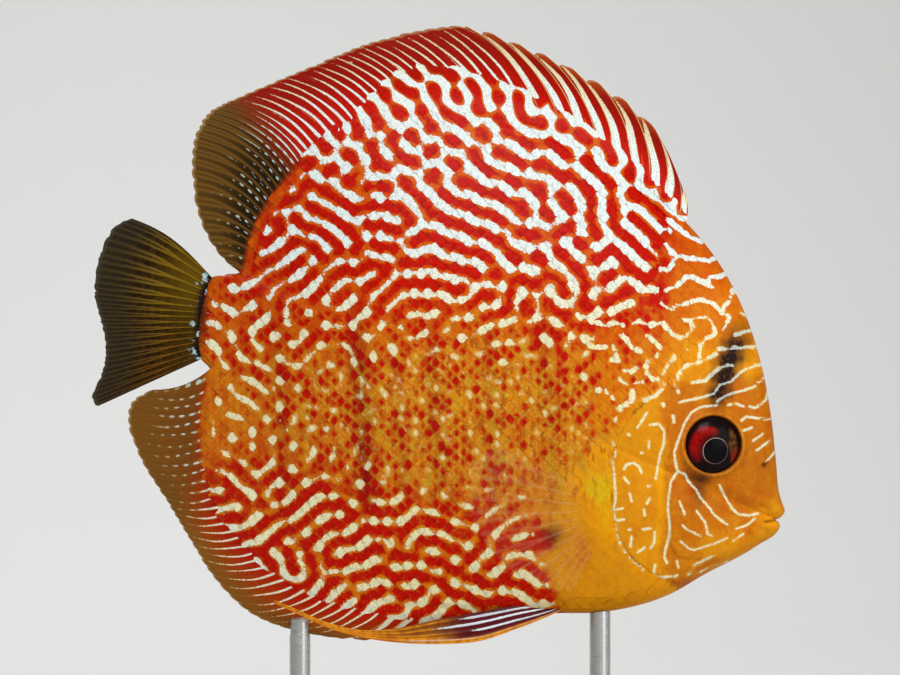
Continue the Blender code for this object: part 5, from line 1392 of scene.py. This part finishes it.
for side, name in ((RIGHT, "pelvic_fin_right"), (LEFT, "pelvic_fin_left")):
    y = side * (apart - 0.8 * across * (1 - t))
    fin_piece(name + "_web", np.stack([x, z], axis=2), y, half, (name,), marks, pelvic_web)

# THE PECTORAL FINS
# A pair of clear fans rooted behind the gill covers, half open and held just off the flank.
# Water-clear web on fine pale rays, so the flank shows through.
PECTORAL_FOOT = [(33.6, -36.4), (32.8, -46.0)]
PECTORAL_LENGTHS = [(0.0, 28.0), (0.12, 34.0), (0.35, 31.0), (0.65, 23.0), (1.0, 13.0)]
PECTORAL_RAYS, PECTORAL_ROWS = 11, 34
PECTORAL_RISE = (26.0, -62.0)  # degrees above the way to the tail, of the first and last rays
PECTORAL_SPREAD, PECTORAL_CUP, PECTORAL_SINK = 21.0, 2.2, 2.2
clear_web, paint = new_finish("clear_web", {"Roughness": 0.3})
ray_in, out_in = paint.read("ray", "out")
amber = paint.blend(paint.step(out_in, 0.0, 0.5), (0.62, 0.20, 0.01), (0.70, 0.50, 0.28))
clouding = paint.step(paint.grain(900.0), 0.3, 0.7)
paint.to("Base Color", paint.blend(clouding, amber, (0.62, 0.40, 0.16)))
body_of = paint.step(ray_in, 0.2, 0.9, 0.01, 0.05)
paint.to("Alpha", paint.times(body_of, paint.step(out_in, 0.1, 0.7, 2.2, 1.0)))
paint.dent(paint.plus(paint.grain(1500.0), ray_in), 0.04)
shares, steps, number = ray_columns(PECTORAL_RAYS)
t = np.linspace(0, 1, PECTORAL_ROWS)
foot = np.outer(1 - shares, PECTORAL_FOOT[0]) + np.outer(shares, PECTORAL_FOOT[1])
length = read_off(PECTORAL_LENGTHS, shares) - 0.7 * (np.abs(steps) / 0.5) ** 2
rise = np.radians(PECTORAL_RISE[0] + (PECTORAL_RISE[1] - PECTORAL_RISE[0]) * shares)
spread = math.radians(PECTORAL_SPREAD)
reach = t * length[:, None]
x = foot[:, :1] + PECTORAL_SINK * 0.5 - reach * (np.cos(rise) * math.cos(spread))[:, None]
z = foot[:, 1:] + reach * np.sin(rise)[:, None]
root_y = half_thickness(*foot.T)[:, None]
y = root_y - PECTORAL_SINK + reach * math.sin(spread) + PECTORAL_CUP * t**2
ray = hump(np.abs(steps)[:, None] - 0.2 * eased(t, 0.4, 0.9), 0.12)
half = 0.08 + ray * (0.18 - 0.13 * t) + 0.5 * np.clip(1 - t / 0.3, 0, 1) ** 1.5
grid, marks = np.stack([x, z], axis=2), {"ray": ray, "out": t}
for side, name in ((RIGHT, "pectoral_fin_right"), (LEFT, "pectoral_fin_left")):
    fin_piece(name + "_web", grid, side * y, half, (name,), marks, clear_web)

# THE STAND
# An oiled oak slab with a soft edge, and two brushed steel rods screwed into it through collars.
# The front rod is cut to the chest, and the rear one is forked round the anal fin's root.
oak, paint = new_finish("oiled_oak")
place = paint.node("ShaderNodeTexCoord").outputs["Object"]
warped = paint.node("ShaderNodeMapping", {"Vector": place, "Scale": (6.0, 60.0, 45.0)}).outputs[0]
bends = {"Vector": warped, "Scale": 1.6, "Detail": 4.0, "Distortion": 0.6}
growth_rings = paint.figure("FRACT", paint.times(paint.node("ShaderNodeTexNoise", bends).outputs[0], 9.0))
pores = paint.grain(60.0, 6.0, (2.0, 60.0, 60.0))
colour = paint.blend(paint.step(growth_rings, 0.0, 1.0), (0.30, 0.165, 0.075), (0.20, 0.098, 0.040))
paint.to("Base Color", paint.blend(paint.step(pores, 0.52, 0.68), colour, (0.105, 0.050, 0.022)))
paint.to("Roughness", paint.step(pores, 0.3, 0.7, 0.36, 0.55))
paint.dent(pores, 0.08)
steel, paint = new_finish("brushed_steel", {"Metallic": 1.0})
brushing = paint.grain(300.0, 4.0, (1.0, 1.0, 14.0))
paint.to("Base Color", paint.blend(brushing, (0.52, 0.52, 0.51), (0.66, 0.66, 0.65)))
paint.to("Roughness", paint.step(brushing, 0.3, 0.7, 0.26, 0.4))
paint.dent(brushing, 0.02)
for name, finish in (("stand_base", oak), ("stand_rod_front", steel), ("stand_rod_rear", steel)):
    for slot in bpy.data.objects[name].material_slots:
        slot.material = finish

# THE ROOM
# A plain pale floor that curves up behind, unseen from its back, and soft studio lights. The
# camera stands square to the fish's right flank and keeps the picture's framing.
FRAME_WIDTH = 207.0
CAMERA_AWAY = 1300.0
FLOOR_FRONT, FLOOR_BACK, FLOOR_TOP, FLOOR_HALF = -1700.0, 900.0, 1400.0, 1600.0
FLOOR_BEND = 300.0
bend_from = FLOOR_BACK - FLOOR_BEND
floor_rows = [(FLOOR_FRONT, 0.0)]
for angle in np.linspace(0, math.pi / 2, 13):
    floor_rows.append((bend_from + FLOOR_BEND * math.sin(angle), FLOOR_BEND - FLOOR_BEND * math.cos(angle)))
floor_rows.append((FLOOR_BACK, FLOOR_TOP))
floor_points = [(x, y, z) for y, z in floor_rows for x in (-FLOOR_HALF, FLOOR_HALF)]
floor_faces = [(2 * i, 2 * i + 1, 2 * i + 3, 2 * i + 2) for i in range(len(floor_rows) - 1)]
floor_mesh = bpy.data.meshes.new("floor")
floor_mesh.from_pydata(np.array(floor_points) * MM, [], floor_faces)
floor_mesh.shade_smooth()
floor = set_down("floor", floor_mesh)
paper, paint = new_finish("pale_floor", {"Base Color": (0.76, 0.76, 0.75), "Roughness": 0.8})
paint.to("Alpha", paint.minus(1.0, paint.node("ShaderNodeNewGeometry").outputs["Backfacing"]))
floor_mesh.materials.append(paper)

world = bpy.data.worlds.new("room")
bpy.context.scene.world = world
world.use_nodes = True
background = world.node_tree.nodes["Background"]
background.inputs["Color"].default_value = (0.95, 0.97, 1.0, 1)
background.inputs["Strength"].default_value = 0.19
for name, spot, power, size, warmth in (
    ("key_light", (150.0, -800.0, 800.0), 8.2, 500.0, (1.0, 0.98, 0.95)),
    ("fill_light", (700.0, -600.0, 300.0), 2.4, 600.0, (0.95, 0.98, 1.0)),
    ("back_light", (-200.0, 700.0, 700.0), 3.8, 500.0, (1.0, 1.0, 1.0)),
):
    lamp = bpy.data.lights.new(name, "AREA")
    lamp.energy, lamp.size, lamp.color = power, size * MM, warmth
    holder = set_down(name, lamp)
    holder.location = Vector(spot) * MM
    holder.rotation_euler = (Vector((0, 0, LIFT * MM)) - holder.location).to_track_quat("-Z", "Y").to_euler()
bpy.context.scene.view_settings.view_transform = "Standard"

lens = bpy.data.cameras.new("camera")
lens.sensor_width = 36.0
lens.lens = lens.sensor_width * CAMERA_AWAY / FRAME_WIDTH
lens.clip_start, lens.clip_end = 0.01, 20.0
camera = set_down("camera", lens)
camera.location = (0.0, -CAMERA_AWAY * MM, LIFT * MM)
camera.rotation_euler = (math.pi / 2, 0, 0)
bpy.context.scene.camera = camera
